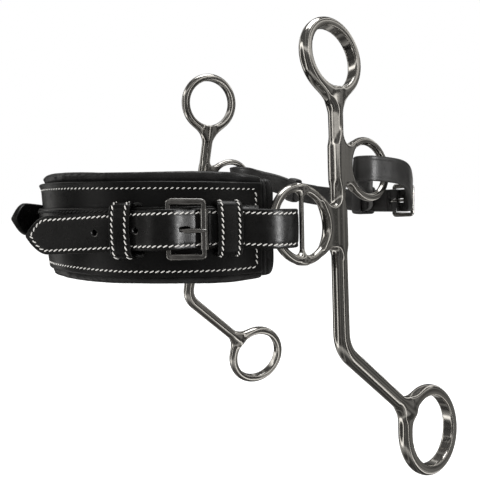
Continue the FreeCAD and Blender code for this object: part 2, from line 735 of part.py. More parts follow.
# Each keeper's centre, direction along the strap, and the height of the straps in it.
CURB_KEEPERS = {
    "curb_keeper_right": ((-32.2, 80.2, 19.65), (0.95, 0.18, -0.25), 5.1),
    "curb_keeper_left": ((38.0, 81.1, 11.1), (1, 0.05, -0.04), 10.4),
}


def build_curb_keepers():
    """Closed leather loops round the stacked straps."""
    wall, length = size("curb_keeper_wall"), size("curb_keeper_length")
    width = size("curb_width") + 2 * size("curb_keeper_room")
    for name, (centre, along, stack) in CURB_KEEPERS.items():
        block = Part.makeBox(length, stack + 2 * wall, width + 2 * wall)
        block.translate(Vector(-length / 2, -stack / 2 - wall, -width / 2 - wall))
        hole = Part.makeBox(2 * length, stack, width)
        hole.translate(Vector(-length, -stack / 2, -width / 2))
        loop = feature(name + "_loop", block.cut(hole))
        loop.Placement = Placement(Vector(*centre), Rotation(X_AXIS, Vector(*along)))
        keep(loop, name)


def build_curb():
    """Curb strap, its billet, and the buckle that joins them."""
    width, thick = size("curb_width"), size("curb_thick")
    level, heel, bar = CURB_BUCKLE_LEVEL, CURB_HEEL, CURB_BAR
    wire, pin, gap = size("curb_heel_radius"), size("curb_tongue_radius"), size("running_gap")
    eye = wire + gap
    rest = over_bar(heel, bar, wire + pin + gap, 1)
    strap = ribbon(CURB_STRAP, width, thick)
    keep(feature("curb_strap_leather", strap), "curb_strap")
    billet = ribbon(CURB_BILLET, width, thick)
    billet = billet.cut(tongue_slot(heel, rest, level, 3 * pin))
    keep(feature("curb_billet_leather", billet), "curb_billet")

    frame = wire_frame(heel, bar, level, size("curb_buckle_width") / 2, wire, wire, wire)
    keep(feature("curb_buckle_wires", frame), "curb_buckle_frame")
    tongue = tongue_pin(heel, rest, level, eye, pin, size("curb_tongue_eye"), wire)
    keep(feature("curb_buckle_pin", tongue), "curb_buckle_tongue")

    leather = size("chape_thick")
    tail = Part.makeBox(heel.x - CHAPE_TAIL_START.x, leather, width,
                        CHAPE_TAIL_START + Z_AXIS * (level - width / 2))
    chape = upright(eye + leather, heel, width / 2, level).fuse(tail)
    room = eye_room(heel, level, size("curb_tongue_eye") + 2 * size("eye_side_gap"),
                    eye + leather + 1)
    chape = chape.cut([upright(eye, heel, width, level), room])
    keep(feature("curb_chape_fold", chape), "curb_chape")


build_cheek()
build_padding()
build_noseband()
build_billet()
build_keepers()
build_buckle()
build_curb()
build_curb_keepers()
doc.recompute()

for thing in doc.Objects:
    if "Invalid" in thing.State or "Error" in thing.State:
        raise SystemExit(f"{thing.Name} failed: {thing.State}")
os.makedirs("parts", exist_ok=True)
for thing in PARTS:
    if thing.Shape.isNull() or not thing.Shape.isValid():
        raise SystemExit(f"{thing.Label} has no valid shape")
for thing in PARTS:
    thing.Shape.exportStep(f"parts/{thing.Label}.step")
    print(thing.Label, round(thing.Shape.Volume), len(thing.Shape.Solids))
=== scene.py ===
"""Looks of the bitless hackamore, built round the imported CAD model.

Working sizes are millimetres in the CAD frame: +X the horse's left, -Y the front of the
nose, +Z up, origin midway between the noseband rings.  Meshes are scaled to metres last.
"""
import json
import math

import bmesh
import bpy
import numpy as np
from mathutils import Matrix, Vector

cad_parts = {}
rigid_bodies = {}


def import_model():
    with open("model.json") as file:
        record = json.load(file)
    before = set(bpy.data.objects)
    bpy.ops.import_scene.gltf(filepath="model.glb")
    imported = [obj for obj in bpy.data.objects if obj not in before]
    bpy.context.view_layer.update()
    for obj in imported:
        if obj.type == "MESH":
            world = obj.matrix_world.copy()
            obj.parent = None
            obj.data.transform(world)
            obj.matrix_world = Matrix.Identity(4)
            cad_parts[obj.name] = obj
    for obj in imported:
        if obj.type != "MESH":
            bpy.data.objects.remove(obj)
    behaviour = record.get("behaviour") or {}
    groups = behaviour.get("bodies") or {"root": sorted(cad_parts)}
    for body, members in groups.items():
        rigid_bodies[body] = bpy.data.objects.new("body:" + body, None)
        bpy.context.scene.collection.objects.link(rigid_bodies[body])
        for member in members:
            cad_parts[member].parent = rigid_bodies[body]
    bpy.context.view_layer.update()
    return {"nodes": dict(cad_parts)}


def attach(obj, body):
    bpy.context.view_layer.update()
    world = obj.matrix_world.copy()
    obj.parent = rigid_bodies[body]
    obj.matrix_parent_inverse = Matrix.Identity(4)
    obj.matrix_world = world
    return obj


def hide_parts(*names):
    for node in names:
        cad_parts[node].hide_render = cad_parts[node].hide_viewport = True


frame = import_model()
MM = 0.001
SIDES = {"left": 1, "right": -1}
Z_AXIS = np.array([0.0, 0.0, 1.0])


# ---------------------------------------------------------------------- mesh helpers

def mesh_object(name, points, faces, material, sharp_degrees=40):
    """A mesh from points in millimetres, smooth but for creases over sharp_degrees."""
    mesh = bpy.data.meshes.new(name)
    mesh.from_pydata((np.asarray(points) * MM).tolist(), [], [list(map(int, f)) for f in faces])
    work = bmesh.new()
    work.from_mesh(mesh)
    bmesh.ops.recalc_face_normals(work, faces=work.faces)
    work.to_mesh(mesh)
    work.free()
    mesh.polygons.foreach_set("use_smooth", [True] * len(mesh.polygons))
    mesh.set_sharp_from_angle(angle=math.radians(sharp_degrees))
    mesh.materials.append(material)
    thing = bpy.data.objects.new(name, mesh)
    bpy.context.scene.collection.objects.link(thing)
    return thing


def place(thing, body, slot, *nodes):
    """Ride a piece on its body and hide the CAD nodes it stands for; slot is not used."""
    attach(thing, body)
    if nodes:
        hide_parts(*nodes)
    return thing


def apply_modifiers(thing):
    depsgraph = bpy.context.evaluated_depsgraph_get()
    mesh = bpy.data.meshes.new_from_object(thing.evaluated_get(depsgraph))
    thing.modifiers.clear()
    thing.data = mesh


def vertex_places(thing):
    return np.array([vertex.co for vertex in thing.data.vertices])


def unit(vector):
    vector = np.asarray(vector, float)
    return vector / np.linalg.norm(vector, axis=-1, keepdims=True)


def smooth_step(value, start, end):
    share = np.clip((np.asarray(value, float) - start) / (end - start), 0, 1)
    return share * share * (3 - 2 * share)


def travelled(points):
    """Distance along a polyline at each of its points."""
    return np.concatenate([[0], np.cumsum(np.linalg.norm(np.diff(points, axis=0), axis=1))])


def arc(centre, radius, first, second, degrees):
    """Points round a centre, cosines along one direction and sines along another."""
    turns = np.radians(degrees)
    return centre + radius * (np.outer(np.cos(turns), first) + np.outer(np.sin(turns), second))


def spline(points, spacing):
    """Natural cubic spline through points, resampled at about an even spacing."""
    points = np.asarray(points, float)
    knots = travelled(points)
    gaps = np.diff(knots)
    count = len(points)
    system = np.eye(count)
    target = np.zeros_like(points)
    for i in range(1, count - 1):
        system[i, i - 1:i + 2] = gaps[i - 1], 2 * (gaps[i - 1] + gaps[i]), gaps[i]
        target[i] = 6 * ((points[i + 1] - points[i]) / gaps[i]
                         - (points[i] - points[i - 1]) / gaps[i - 1])
    bend = np.linalg.solve(system, target)
    places = np.linspace(0, knots[-1], max(int(knots[-1] / spacing), 2) + 1)
    span = np.clip(np.searchsorted(knots, places, side="right") - 1, 0, count - 2)
    gap = gaps[span][:, None]
    before, after = (knots[span + 1] - places)[:, None], (places - knots[span])[:, None]
    return ((bend[span] * before ** 3 + bend[span + 1] * after ** 3) / (6 * gap)
            + (points[span] / gap - bend[span] * gap / 6) * before
            + (points[span + 1] / gap - bend[span + 1] * gap / 6) * after)


def tangents(course):
    return unit(np.gradient(course, axis=0))


def loop_tangents(course):
    return unit(np.roll(course, -1, axis=0) - np.roll(course, 1, axis=0))


def sweep(course, side, up, profiles, closed=False):
    """Points and faces of closed profiles (through, across) placed along a course."""
    side, up = (np.broadcast_to(axis, (len(course), 3)) for axis in (side, up))
    rings = [centre + np.outer(p[:, 0], s) + np.outer(p[:, 1], u)
             for centre, s, u, p in zip(course, side, up, profiles)]
    count, around = len(rings), len(rings[0])
    faces = []
    for i in range(count if closed else count - 1):
        here, there = i * around, ((i + 1) % count) * around
        for j in range(around):
            k = (j + 1) % around
            faces.append((here + j, there + j, there + k, here + k))
    if not closed:
        faces.append(tuple(range(around)))
        faces.append(tuple(reversed(range((count - 1) * around, count * around))))
    return np.concatenate(rings), faces


def strap_profile(width, thick, corner=0.8, crown=0.25, groove=None, depth=0.22):
    """Section of a strap: soft corners, a slight crown and sunk stitch lines outside."""
    corner = min(corner, thick * 0.48, width * 0.3)
    half = width / 2 - corner
    across = np.linspace(-half, half, 25)
    outer = thick / 2 + crown * (1 - (across / max(width / 2, 1e-6)) ** 2)
    if groove is not None and width > 4 * groove:
        line = width / 2 - groove
        outer -= depth * np.exp(-((np.abs(across) - line) / 0.42) ** 2)
    points = [(o, a) for o, a in zip(outer, across)]
    turn = np.radians(np.arange(15, 90, 15))
    edge = crown * (1 - (half / (width / 2)) ** 2)
    upper = [((thick / 2 - corner + edge) + corner * math.cos(t), half + corner * math.sin(t))
             for t in turn]
    lower = [(-(thick / 2 - corner) - corner * math.sin(t), half + corner * math.cos(t))
             for t in turn]
    points += upper + lower
    points += [(-thick / 2, half), (-thick / 2, 0), (-thick / 2, -half)]
    points += [(o, -a) for o, a in reversed(lower)] + [(o, -a) for o, a in reversed(upper)]
    return np.array(points)


# -------------------------------------------------------------------------- stitches

THREAD_PITCH, THREAD_LENGTH, THREAD_RADIUS = 2.45, 2.3, 0.27
THREAD_SLANT = math.radians(24.0)
# Height of a stitch's middle over the leather and depth of its buried ends.
THREAD_RISE, THREAD_END = 0.24, -0.35


class Stitching:
    """Gathers slanted stitches and builds them as one mesh of short sunk threads."""

    def __init__(self):
        self.centres, self.along, self.normals = [], [], []

    def row(self, line, normals, start=0.0, end=0.0):
        """Stitches along a polyline lying on the leather, leaving room at both ends."""
        line, normals = np.asarray(line, float), np.asarray(normals, float)
        places = travelled(line)
        length = places[-1] - start - end
        count = max(int(length / THREAD_PITCH), 1)
        marks = start + (np.arange(count) + 0.5) * length / count
        reach = THREAD_PITCH / 2

        def at(values, where):
            return np.stack([np.interp(where, places, column) for column in values.T], 1)

        centres = at(line, marks)
        out = unit(at(normals, marks))
        ahead = unit(at(line, marks + reach) - at(line, marks - reach))
        ahead = unit(ahead - out * np.sum(ahead * out, 1, keepdims=True))
        self.centres.append(centres)
        self.along.append(ahead * math.cos(THREAD_SLANT)
                          + np.cross(out, ahead) * math.sin(THREAD_SLANT))
        self.normals.append(out)

    def build(self, name, body, material):
        centres = np.concatenate(self.centres)
        along, out = np.concatenate(self.along), np.concatenate(self.normals)
        beside = np.cross(out, along)
        turns = np.radians(np.arange(0, 360, 60))
        around = len(turns)
        template = [(-1.0, 0.0, THREAD_END)]
        for t in (-0.8, -0.35, 0.35, 0.8):
            girth = THREAD_RADIUS * math.sqrt(1 - t * t * 0.75)
            rise = THREAD_RISE - 0.26 * t * t
            template += [(t, girth * 1.15 * math.sin(a), rise + girth * math.cos(a))
                         for a in turns]
        template.append((1.0, 0.0, THREAD_END))
        template = np.array(template) * (THREAD_LENGTH / 2, 1, 1)
        size = len(template)
        faces = []
        for j in range(around):
            k = (j + 1) % around
            faces += [(0, 1 + k, 1 + j), (size - 1, size - 1 - around + j, size - 1 - around + k)]
            faces += [(here + j, here + k, here + around + k, here + around + j)
                      for here in range(1, size - 1 - around, around)]
        points = (centres[:, None] + along[:, None] * template[None, :, :1]
                  + beside[:, None] * template[None, :, 1:2]
                  + out[:, None] * template[None, :, 2:])
        every = [tuple(v + size * i for v in f) for i in range(len(centres)) for f in faces]
        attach(mesh_object(name, points.reshape(-1, 3), every, material, 80), body)


# -------------------------------------------------------------------------- materials

def node_tools(tree):
    """A node adder that gives back one output, and a setter that links sockets it is given."""
    def fill(node, **inputs):
        for key, value in inputs.items():
            socket = node.inputs.get(key.replace("_", " "))
            if socket is None:
                setattr(node, key, value)
            elif isinstance(value, bpy.types.NodeSocket):
                tree.links.new(value, socket)
            else:
                socket.default_value = value

    def add(kind, output, **inputs):
        node = tree.nodes.new("ShaderNode" + kind)
        fill(node, **inputs)
        return node.outputs[output]

    return add, fill


def new_material(name):
    """A material with its node adder and a setter for its surface."""
    material = bpy.data.materials.new(name)
    material.use_nodes = True
    add, fill = node_tools(material.node_tree)
    shader = material.node_tree.nodes["Principled BSDF"]
    return material, add, lambda **inputs: fill(shader, **inputs)


def ramp(add, source, low, high, first, last):
    """A colour ramp between two greys or colours."""
    colour = add("ValToRGB", "Color", Fac=source)
    for element, value, position in zip(colour.node.color_ramp.elements, (low, high),
                                        (first, last)):
        element.position = position
        element.color = (*(value if isinstance(value, tuple) else (value,) * 3), 1)
    return colour


def shaded(tone, share):
    return tuple(share * part for part in tone)


def leather(name, tone, roughness, grain=1500.0, depth=0.05):
    """Dyed leather: pebbled grain over fine creases, with paler rubbed edges."""
    material, add, surface = new_material(name)
    place_in = add("TexCoord", "Object")
    warp = add("TexNoise", "Color", Vector=place_in, Scale=220.0, Detail=3.0)
    shifted = add("MixRGB", "Color", blend_type="ADD", Fac=0.0006, Color1=place_in, Color2=warp)
    cells = add("TexVoronoi", "Distance", Vector=shifted, Scale=grain,
                feature="DISTANCE_TO_EDGE")
    pebble = ramp(add, cells, 0.0, 1.0, 0.0, 0.28)
    creases = add("TexNoise", "Fac", Vector=place_in, Scale=430.0, Detail=6.0, Roughness=0.65)
    height = add("MixRGB", "Color", Fac=0.45, Color1=pebble, Color2=creases)
    swells = add("TexNoise", "Fac", Vector=place_in, Scale=70.0, Detail=2.0)
    soft = add("Bump", "Normal", Strength=0.25, Distance=0.5 * MM, Height=swells)
    bump = add("Bump", "Normal", Strength=0.35, Distance=depth * MM, Height=height, Normal=soft)
    dye = ramp(add, swells, shaded(tone, 0.72), shaded(tone, 1.35), 0.35, 0.7)
    rubbed = ramp(add, add("NewGeometry", "Pointiness"), 0.0, 1.0, 0.53, 0.62)
    colour = add("MixRGB", "Color", Fac=rubbed, Color1=dye, Color2=(0.03, 0.029, 0.028, 1))
    polish = ramp(add, creases, roughness - 0.06, roughness + 0.1, 0.3, 0.75)
    surface(Normal=bump, Base_Color=colour, Roughness=polish, Specular_IOR_Level=0.36)
    return material


def polished_steel(name, tone, roughness, wave=55.0):
    """Hand-polished steel: slight casting ripple, fine scratches, uneven polish."""
    material, add, surface = new_material(name)
    place_in = add("TexCoord", "Object")
    ripple = add("TexNoise", "Fac", Vector=place_in, Scale=wave, Detail=2.0)
    drawn_out = add("Mapping", "Vector", Vector=place_in, Scale=(400, 400, 6000))
    scratches = add("TexNoise", "Fac", Vector=drawn_out, Scale=1.0, Detail=4.0)
    broad = add("Bump", "Normal", Strength=0.35, Distance=0.25 * MM, Height=ripple)
    fine = add("Bump", "Normal", Strength=0.03, Distance=0.01 * MM, Height=scratches,
               Normal=broad)
    surface(Normal=fine, Metallic=1.0,
            Roughness=ramp(add, scratches, roughness * 0.6, roughness * 1.7, 0.35, 0.7),
            Base_Color=ramp(add, ripple, shaded(tone, 0.86), tone, 0.3, 0.6))
    return material


def waxed_thread(name, dark, pale):
    """Twisted thread, dark in its grooves."""
    material, add, surface = new_material(name)
    twist = add("TexWave", "Fac", Vector=add("TexCoord", "Object"), Scale=900.0, Distortion=1.5,
                bands_direction="DIAGONAL")
    surface(Normal=add("Bump", "Normal", Strength=0.4, Distance=0.08 * MM, Height=twist),
            Base_Color=ramp(add, twist, dark, pale, 0.1, 0.7), Roughness=0.75)
    return material


STRAP_LEATHER = leather("strap_leather", (0.0026, 0.0025, 0.0024), 0.30)
PANEL_LEATHER = leather("panel_leather", (0.0022, 0.0021, 0.0021), 0.36, grain=1300.0)
SOFT_LEATHER = leather("soft_leather", (0.009, 0.0088, 0.0087), 0.38, grain=1100.0, depth=0.08)
CURB_LEATHER = leather("curb_leather", (0.018, 0.0175, 0.017), 0.32)
CHEEK_STEEL = polished_steel("cheek_steel", (0.62, 0.60, 0.565), 0.13)
BUCKLE_STEEL = polished_steel("buckle_steel", (0.42, 0.41, 0.395), 0.16, wave=160.0)
THREAD = waxed_thread("waxed_thread", (0.30, 0.29, 0.275), (0.68, 0.665, 0.63))
DARK_THREAD = waxed_thread("dark_thread", (0.008, 0.008, 0.008), (0.03, 0.03, 0.029))
# Pale grey for the hole rims: raw leather's colour, lightened further as a painted highlight.
RAW_EDGE_AND_HIGHLIGHT = leather("raw_edge_and_highlight", (0.11, 0.105, 0.10), 0.6)


# ----------------------------------------------------------------------------- cheeks

RING_X = 80.6
LEAN, TOE, PITCH = 8.0, 4.9, -6.0
ROD = 2.1
NOSE_RING = (0.0, 0.0, 17.2)
CURB_LOOP = (47.5, 32.6, 15.0)
CROWN_RING = {"back": 22.6, "rise": 87.1, "bore": 15.7, "land": 6.0, "wall": 4.6}
REIN_RING = {"back": 92.0, "rise": -107.2, "bore": 18.3, "land": 6.0, "wall": 5.3}
BAR_BACK = 24.9
BEND_DROP, BEND_RADIUS = 59.6, 15.0
# The webs thin from the bar's half thickness to the rod's over this distance from the bar.
WEB_REACH, WEB_HALF = 13.0, 3.75
# Half width of the strip the bar adds to a web or neck, and the hollow where they meet.
STRIP_HALF, HOLLOW = 3.0, 10.0
THIN_BAR = 1.15
# The box one cheek is built in, in its own plane.
CHEEK_LOW, CHEEK_HIGH = (-6, -22, -134), (6, 120, 111)
BAR_GIRTH = ((-120.0, 3.75), (-60.0, 4.05), (0.0, 3.95), (50.0, 3.75), (72.0, 3.9))


def cheek_matrix():
    """From the cheek's own plane (X outward, Y back, Z up) to the CAD frame."""
    turn = (Matrix.Rotation(math.radians(PITCH), 3, "X")
            @ Matrix.Rotation(math.radians(TOE), 3, "Z")
            @ Matrix.Rotation(math.radians(-LEAN), 3, "Y"))
    return np.array(turn)


def round_union(a, b, radius):
    """Union of two distances with a round fillet where they meet."""
    return (np.maximum(radius, np.minimum(a, b))
            - np.hypot(np.maximum(radius - a, 0), np.maximum(radius - b, 0)))


def round_overlap(a, b, radius):
    return -round_union(-a, -b, radius)


def from_centre(p, back, rise):
    return np.hypot(p[:, 1] - back, p[:, 2] - rise)


def rod_ring(p, back, rise, radius):
    return np.hypot(from_centre(p, back, rise) - radius, p[:, 0]) - ROD


def ring_section(land, wall):
    """Radius of a landed ring's round section."""
    return (wall ** 2 + (land / 2) ** 2) / (2 * wall)


def landed_ring(p, back, rise, bore, land, wall):
    """A round-backed ring whose inside is cut to a flat land."""
    section = ring_section(land, wall)
    out = from_centre(p, back, rise)
    ring = np.hypot(out - (bore + wall - section), p[:, 0]) - section
    return round_overlap(ring, bore - out, 0.5)


def to_segment(y, z, start, end):
    along = np.subtract(end, start)
    share = np.clip(((y - start[0]) * along[0] + (z - start[1]) * along[1])
                    / (along @ along), 0, 1)
    return np.hypot(y - start[0] - share * along[0], z - start[1] - share * along[1])


def bar_plan(p):
    """Distance in the cheek's plane to the centre line of the bar, its bend and leg."""
    y, z = p[:, 1], p[:, 2]
    corner = np.array([BAR_BACK, -BEND_DROP])
    foot = np.array([REIN_RING["back"], REIN_RING["rise"]])
    leg = (foot - corner) / np.linalg.norm(foot - corner)
    turn = math.acos(-leg[1])
    trim = BEND_RADIUS * math.tan(turn / 2)
    centre = np.array([BAR_BACK + BEND_RADIUS, corner[1] + trim])
    straight = to_segment(y, z, (BAR_BACK, CROWN_RING["rise"] - CROWN_RING["bore"] - 2),
                          (BAR_BACK, centre[1]))
    sloped = to_segment(y, z, corner + leg * trim, foot - leg * (REIN_RING["bore"] + 2))
    angle = np.arctan2(-(z - centre[1]), -(y - centre[0]))
    bend = np.abs(np.hypot(y - centre[0], z - centre[1]) - BEND_RADIUS)
    bend = np.where((angle >= 0) & (angle <= turn), bend, 1e3)
    return np.minimum(np.minimum(straight, sloped), bend)


def bar_distance(p):
    """The main bar, slightly thicker in the middle."""
    return np.hypot(bar_plan(p), p[:, 0]) - np.interp(p[:, 2], *zip(*BAR_GIRTH))


def plate(p, plan, half, edge):
    """A plan outline given thickness, with rounded edges."""
    inset, depth = plan + edge, np.abs(p[:, 0]) - half + edge
    return (np.hypot(np.maximum(inset, 0), np.maximum(depth, 0))
            + np.minimum(np.maximum(inset, depth), 0) - edge)


def web_distance(p, back, rise, radius):
    """Flat web between a rod ring and the bar, with hollow corners."""
    away, from_bar = from_centre(p, back, rise), np.abs(p[:, 1] - BAR_BACK)
    strip = from_bar - STRIP_HALF + 0.4 * np.maximum(np.abs(p[:, 2] - rise) - 9.0, 0)
    plan = round_union(away - radius - ROD, strip, HOLLOW)
    plan = np.maximum(plan, radius - 1.4 - away)
    half = np.interp(from_bar, (4.0, WEB_REACH), (WEB_HALF, ROD - 0.1))
    return plate(p, round_overlap(plan, from_bar - WEB_REACH, 3.0), half, 1.2)


def neck_distance(p, back, rise, bore, land, wall):
    """Where the bar spreads into a landed ring."""
    out, rim = from_centre(p, back, rise), bore + wall
    strip = bar_plan(p) - STRIP_HALF + 0.45 * np.maximum(out - rim - 4.0, 0)
    plan = round_union(out - rim, strip, HOLLOW)
    plan = np.maximum(plan, rim - ring_section(land, wall) - out)
    return plate(p, plan, 3.0, 2.4)


def cheek_distance(p):
    """Signed distance to one cast cheek, all its joins filleted."""
    metal = bar_distance(p)
    for loop in (NOSE_RING, CURB_LOOP):
        joined = round_union(rod_ring(p, *loop), web_distance(p, *loop), 1.5)
        metal = round_union(metal, joined, 1.5)
    for ring in (CROWN_RING, REIN_RING):
        joined = round_union(landed_ring(p, **ring), neck_distance(p, **ring), 1.5)
        metal = round_union(metal, joined, 2.5)
        metal = np.maximum(metal, ring["bore"] - from_centre(p, ring["back"], ring["rise"]))
    thin_bar = np.hypot(p[:, 0], p[:, 1]) - THIN_BAR
    thin_bar = np.maximum(thin_bar, np.abs(p[:, 2]) - NOSE_RING[2])
    return round_union(metal, thin_bar, 3.5)


def slope(distance, p, step=0.05):
    """Unit normals of a distance field."""
    rise = [distance(p + step * axis) - distance(p - step * axis) for axis in np.eye(3)]
    return unit(np.stack(rise, 1) + 1e-12)


def surface_net(distance, low, high, step):
    """Quads round the zero surface of a distance field, drawn onto it and evened out."""
    axes = [np.arange(a, b, step) for a, b in zip(low, high)]
    shape = [len(axis) for axis in axes]
    grid = np.stack(np.meshgrid(*axes, indexing="ij"), -1).reshape(-1, 3)
    inside = (distance(grid) < 0).reshape(shape)
    count = sum(inside[i:shape[0] - 1 + i, j:shape[1] - 1 + j, k:shape[2] - 1 + k].astype(int)
                for i in (0, 1) for j in (0, 1) for k in (0, 1))
    cell = (count > 0) & (count < 8)
    number = np.full(cell.shape, -1)
    number[cell] = np.arange(cell.sum())
    points = np.argwhere(cell) * step + np.array(low) + step / 2
    faces = []
    for axis in range(3):
        first, second = [a for a in range(3) if a != axis]
        here = np.swapaxes(inside, 0, axis)
        crossing = np.argwhere(np.swapaxes(here[:-1] != here[1:], 0, axis))
        quad = []
        for a, b in ((-1, -1), (0, -1), (0, 0), (-1, 0)):
            near = crossing.copy()
            near[:, first] += a
            near[:, second] += b
            quad.append(number[tuple(near.T)])
        faces.append(np.stack(quad, 1))
    faces = np.concatenate(faces)
    for reach in (0.6, 0.4, 0.3, 0.2):
        total, shares = np.zeros_like(points), np.zeros(len(points))
        for a, b in ((0, 1), (1, 2), (2, 3), (3, 0), (1, 0), (2, 1), (3, 2), (0, 3)):
            np.add.at(total, faces[:, a], points[faces[:, b]])
            np.add.at(shares, faces[:, a], 1)
        points = points + reach * (total / shares[:, None] - points)
        for _ in range(2):
            off = np.clip(distance(points), -step, step)[:, None]
            points = points - slope(distance, points) * off
    return points, faces


def build_cheeks():
    step = 0.75
    points, faces = surface_net(cheek_distance, CHEEK_LOW, CHEEK_HIGH, step)
    turned = points @ cheek_matrix().T + (RING_X, 0, 0)
    for word, side in SIDES.items():
        thing = mesh_object(f"{word}_cheek_casting", turned * (side, 1, 1), faces,
                            CHEEK_STEEL, 50)
        place(thing, f"{word}_cheek", "steel_cheeks", f"{word}_cheek")


# --------------------------------------------------------------------- noseband plan

NOSE_HALF, NOSE_REACH, NOSE_START, FRONT_RADIUS = 74.4, 98.0, 18.0, 68.0
DROP = NOSE_REACH - NOSE_START - FRONT_RADIUS
SIDE_RADIUS = ((NOSE_HALF ** 2 + DROP ** 2 - FRONT_RADIUS ** 2)
               / (2 * (NOSE_HALF - FRONT_RADIUS)))
SIDE_X = NOSE_HALF - SIDE_RADIUS
FRONT_Y = FRONT_RADIUS - NOSE_REACH
JOIN = math.degrees(math.atan2(DROP, -SIDE_X))
END_Y = -18.3


def side_point(degrees, offset, height=0.0):
    """A point on the left side arc, degrees forward of its start."""
    turn, reach = math.radians(degrees), SIDE_RADIUS + offset
    return np.array([SIDE_X + reach * math.cos(turn), -NOSE_START - reach * math.sin(turn),
                     height])


def side_forward(degrees):
    turn = math.radians(degrees)
    return np.array([-math.sin(turn), -math.cos(turn), 0.0])


def side_outward(degrees):
    turn = math.radians(degrees)
    return np.array([math.cos(turn), -math.sin(turn), 0.0])


def noseband_course(offset, end_y=END_Y, spacing=1.2):
    """Plan points and outward normals from the left end round the nose to the right."""
    stop = math.degrees(math.asin((-end_y - NOSE_START) / (SIDE_RADIUS + offset)))
    arcs = (((SIDE_X, -NOSE_START), SIDE_RADIUS + offset, -stop, -JOIN),
            ((0.0, FRONT_Y), FRONT_RADIUS + offset, -JOIN, JOIN - 180),
            ((-SIDE_X, -NOSE_START), SIDE_RADIUS + offset, JOIN - 180, stop - 180))
    points, normals = [], []
    for index, (centre, radius, first, last) in enumerate(arcs):
        count = max(int(abs(math.radians(last - first)) * radius / spacing), 2)
        turns = np.radians(np.linspace(first, last, count + 1))[1 if index else 0:]
        out = np.stack([np.cos(turns), np.sin(turns), np.zeros_like(turns)], 1)
        points.append(np.array([*centre, 0.0]) + radius * out)
        normals.append(out)
    return np.concatenate(points), np.concatenate(normals)


def front_share(points):
    """0 at the noseband's ends and 1 at the middle of the nose."""
    return smooth_step(-np.asarray(points)[:, 1], 25.0, 95.0)


FRONT_LEAN = math.tan(math.radians(4.0))


def lean_out(points, normals, heights):
    """The nose front leans forward as it rises."""
    return points + normals * (front_share(points) * FRONT_LEAN * heights)[:, None]


def band_sweep(offset, low, high, profile, end_y=END_Y):
    """Sweep profile(height) round the noseband, centred at offset outside the panel."""
    course, out = noseband_course(offset, end_y)
    rings = []
    for ahead, share in zip(-course[:, 1], front_share(course)):
        bottom, top = low(ahead), high(ahead)
        ring = profile(top - bottom) + (0, (top + bottom) / 2)
        ring[:, 0] += share * FRONT_LEAN * ring[:, 1]
        rings.append(ring)
    return sweep(course, out, Z_AXIS, rings)


def along_nose(*stations):
    """A height eased through stations of (distance ahead of the origin, height)."""
    def height(ahead):
        around = [np.interp(ahead + shift, *zip(*stations)) for shift in (-6, -3, 0, 3, 6)]
        return sum(around) / len(around)
    return height


PANEL_LOW = along_nose((16, -21.9), (32, -22.7), (80, -22.6), (98, -21.2))
PANEL_HIGH = along_nose((16, 19.4), (40, 19.9), (80, 20.6), (98, 21.6))
PAD_LOW = along_nose((8, -23.4), (32, -25.3), (80, -24.9), (98, -23.3))
PAD_HIGH = along_nose((8, 20.6), (30, 23.4), (45, 24.0), (75, 24.0), (98, 26.0))
PANEL_THICK, PAD_THICK = 2.0, 12.4
PANEL_GROOVE = 3.1
LIP_CURL = 0.9


# ---------------------------------------------------------------------------- padding

ROLL_OUT, ROLL_HEIGHT = 1.9, 3.7


def pad_profile(height, thick):
    """Padding section: a soft inner face, and rolls that stand out past the panel's edges."""
    face, top, corner = thick / 2, height / 2, 4.5
    upper = [(face, top - ROLL_HEIGHT - 0.6), (face + 0.7 * ROLL_OUT, top - ROLL_HEIGHT + 0.3),
             (face + ROLL_OUT, top - 0.55 * ROLL_HEIGHT), (face + 0.8 * ROLL_OUT, top - 0.8),
             (face + 0.2 * ROLL_OUT, top)]
    upper += [(-face + corner + corner * math.cos(t), top - corner + corner * math.sin(t))
              for t in np.radians(np.arange(90, 181, 15))]
    return np.array(upper + [(through, -rise) for through, rise in reversed(upper)])


def swell(thing, pinned, limit, pressure=4.0, frames=20):
    """Inflate a closed soft form with the cloth solver, no point moving past limit."""
    group = thing.vertex_groups.new(name="sewn")
    group.add([int(i) for i in np.flatnonzero(pinned)], 1.0, "REPLACE")
    rest = vertex_places(thing)
    cloth = thing.modifiers.new("swell", "CLOTH")
    cloth.settings.vertex_group_mass = "sewn"
    cloth.settings.use_pressure = True
    cloth.settings.uniform_pressure_force = pressure
    cloth.settings.effector_weights.gravity = 0
    cloth.settings.tension_stiffness = 18
    cloth.settings.compression_stiffness = 18
    cloth.collision_settings.use_collision = False
    cloth.point_cache.frame_end = frames
    for number in range(1, frames + 1):
        bpy.context.scene.frame_set(number)
    apply_modifiers(thing)
    shift = vertex_places(thing) - rest
    far = np.linalg.norm(shift, axis=1, keepdims=True)
    shift *= np.minimum(1.0, limit * MM / np.maximum(far, 1e-9))
    thing.data.vertices.foreach_set("co", (rest + shift).ravel())
    bpy.context.scene.frame_set(1)


def build_padding():
    """Soft lining over its foam: swelled above, below and inside the sewn panel."""
    slack, ease = 0.9, 1.1
    middle = -PANEL_THICK - PAD_THICK / 2 - 0.2
    points, faces = band_sweep(
        middle, lambda ahead: PAD_LOW(ahead) - ease, lambda ahead: PAD_HIGH(ahead) + ease,
        lambda height: pad_profile(height, PAD_THICK - 2 * slack), END_Y + 2.0)
    thing = mesh_object("noseband_padding", points, faces, SOFT_LEATHER, 180)
    remesh = thing.modifiers.new("remesh", "REMESH")
    remesh.mode = "VOXEL"
    remesh.voxel_size = 2.2 * MM
    apply_modifiers(thing)
    swell(thing, sewn_to_panel(vertex_places(thing) / MM), limit=1.5)
    smooth = thing.modifiers.new("smooth", "SUBSURF")
    smooth.levels = smooth.render_levels = 1
    apply_modifiers(thing)
    thing.data.polygons.foreach_set("use_smooth", [True] * len(thing.data.polygons))
    place(thing, "noseband", "soft_leather", "noseband_lining", "noseband_foam")


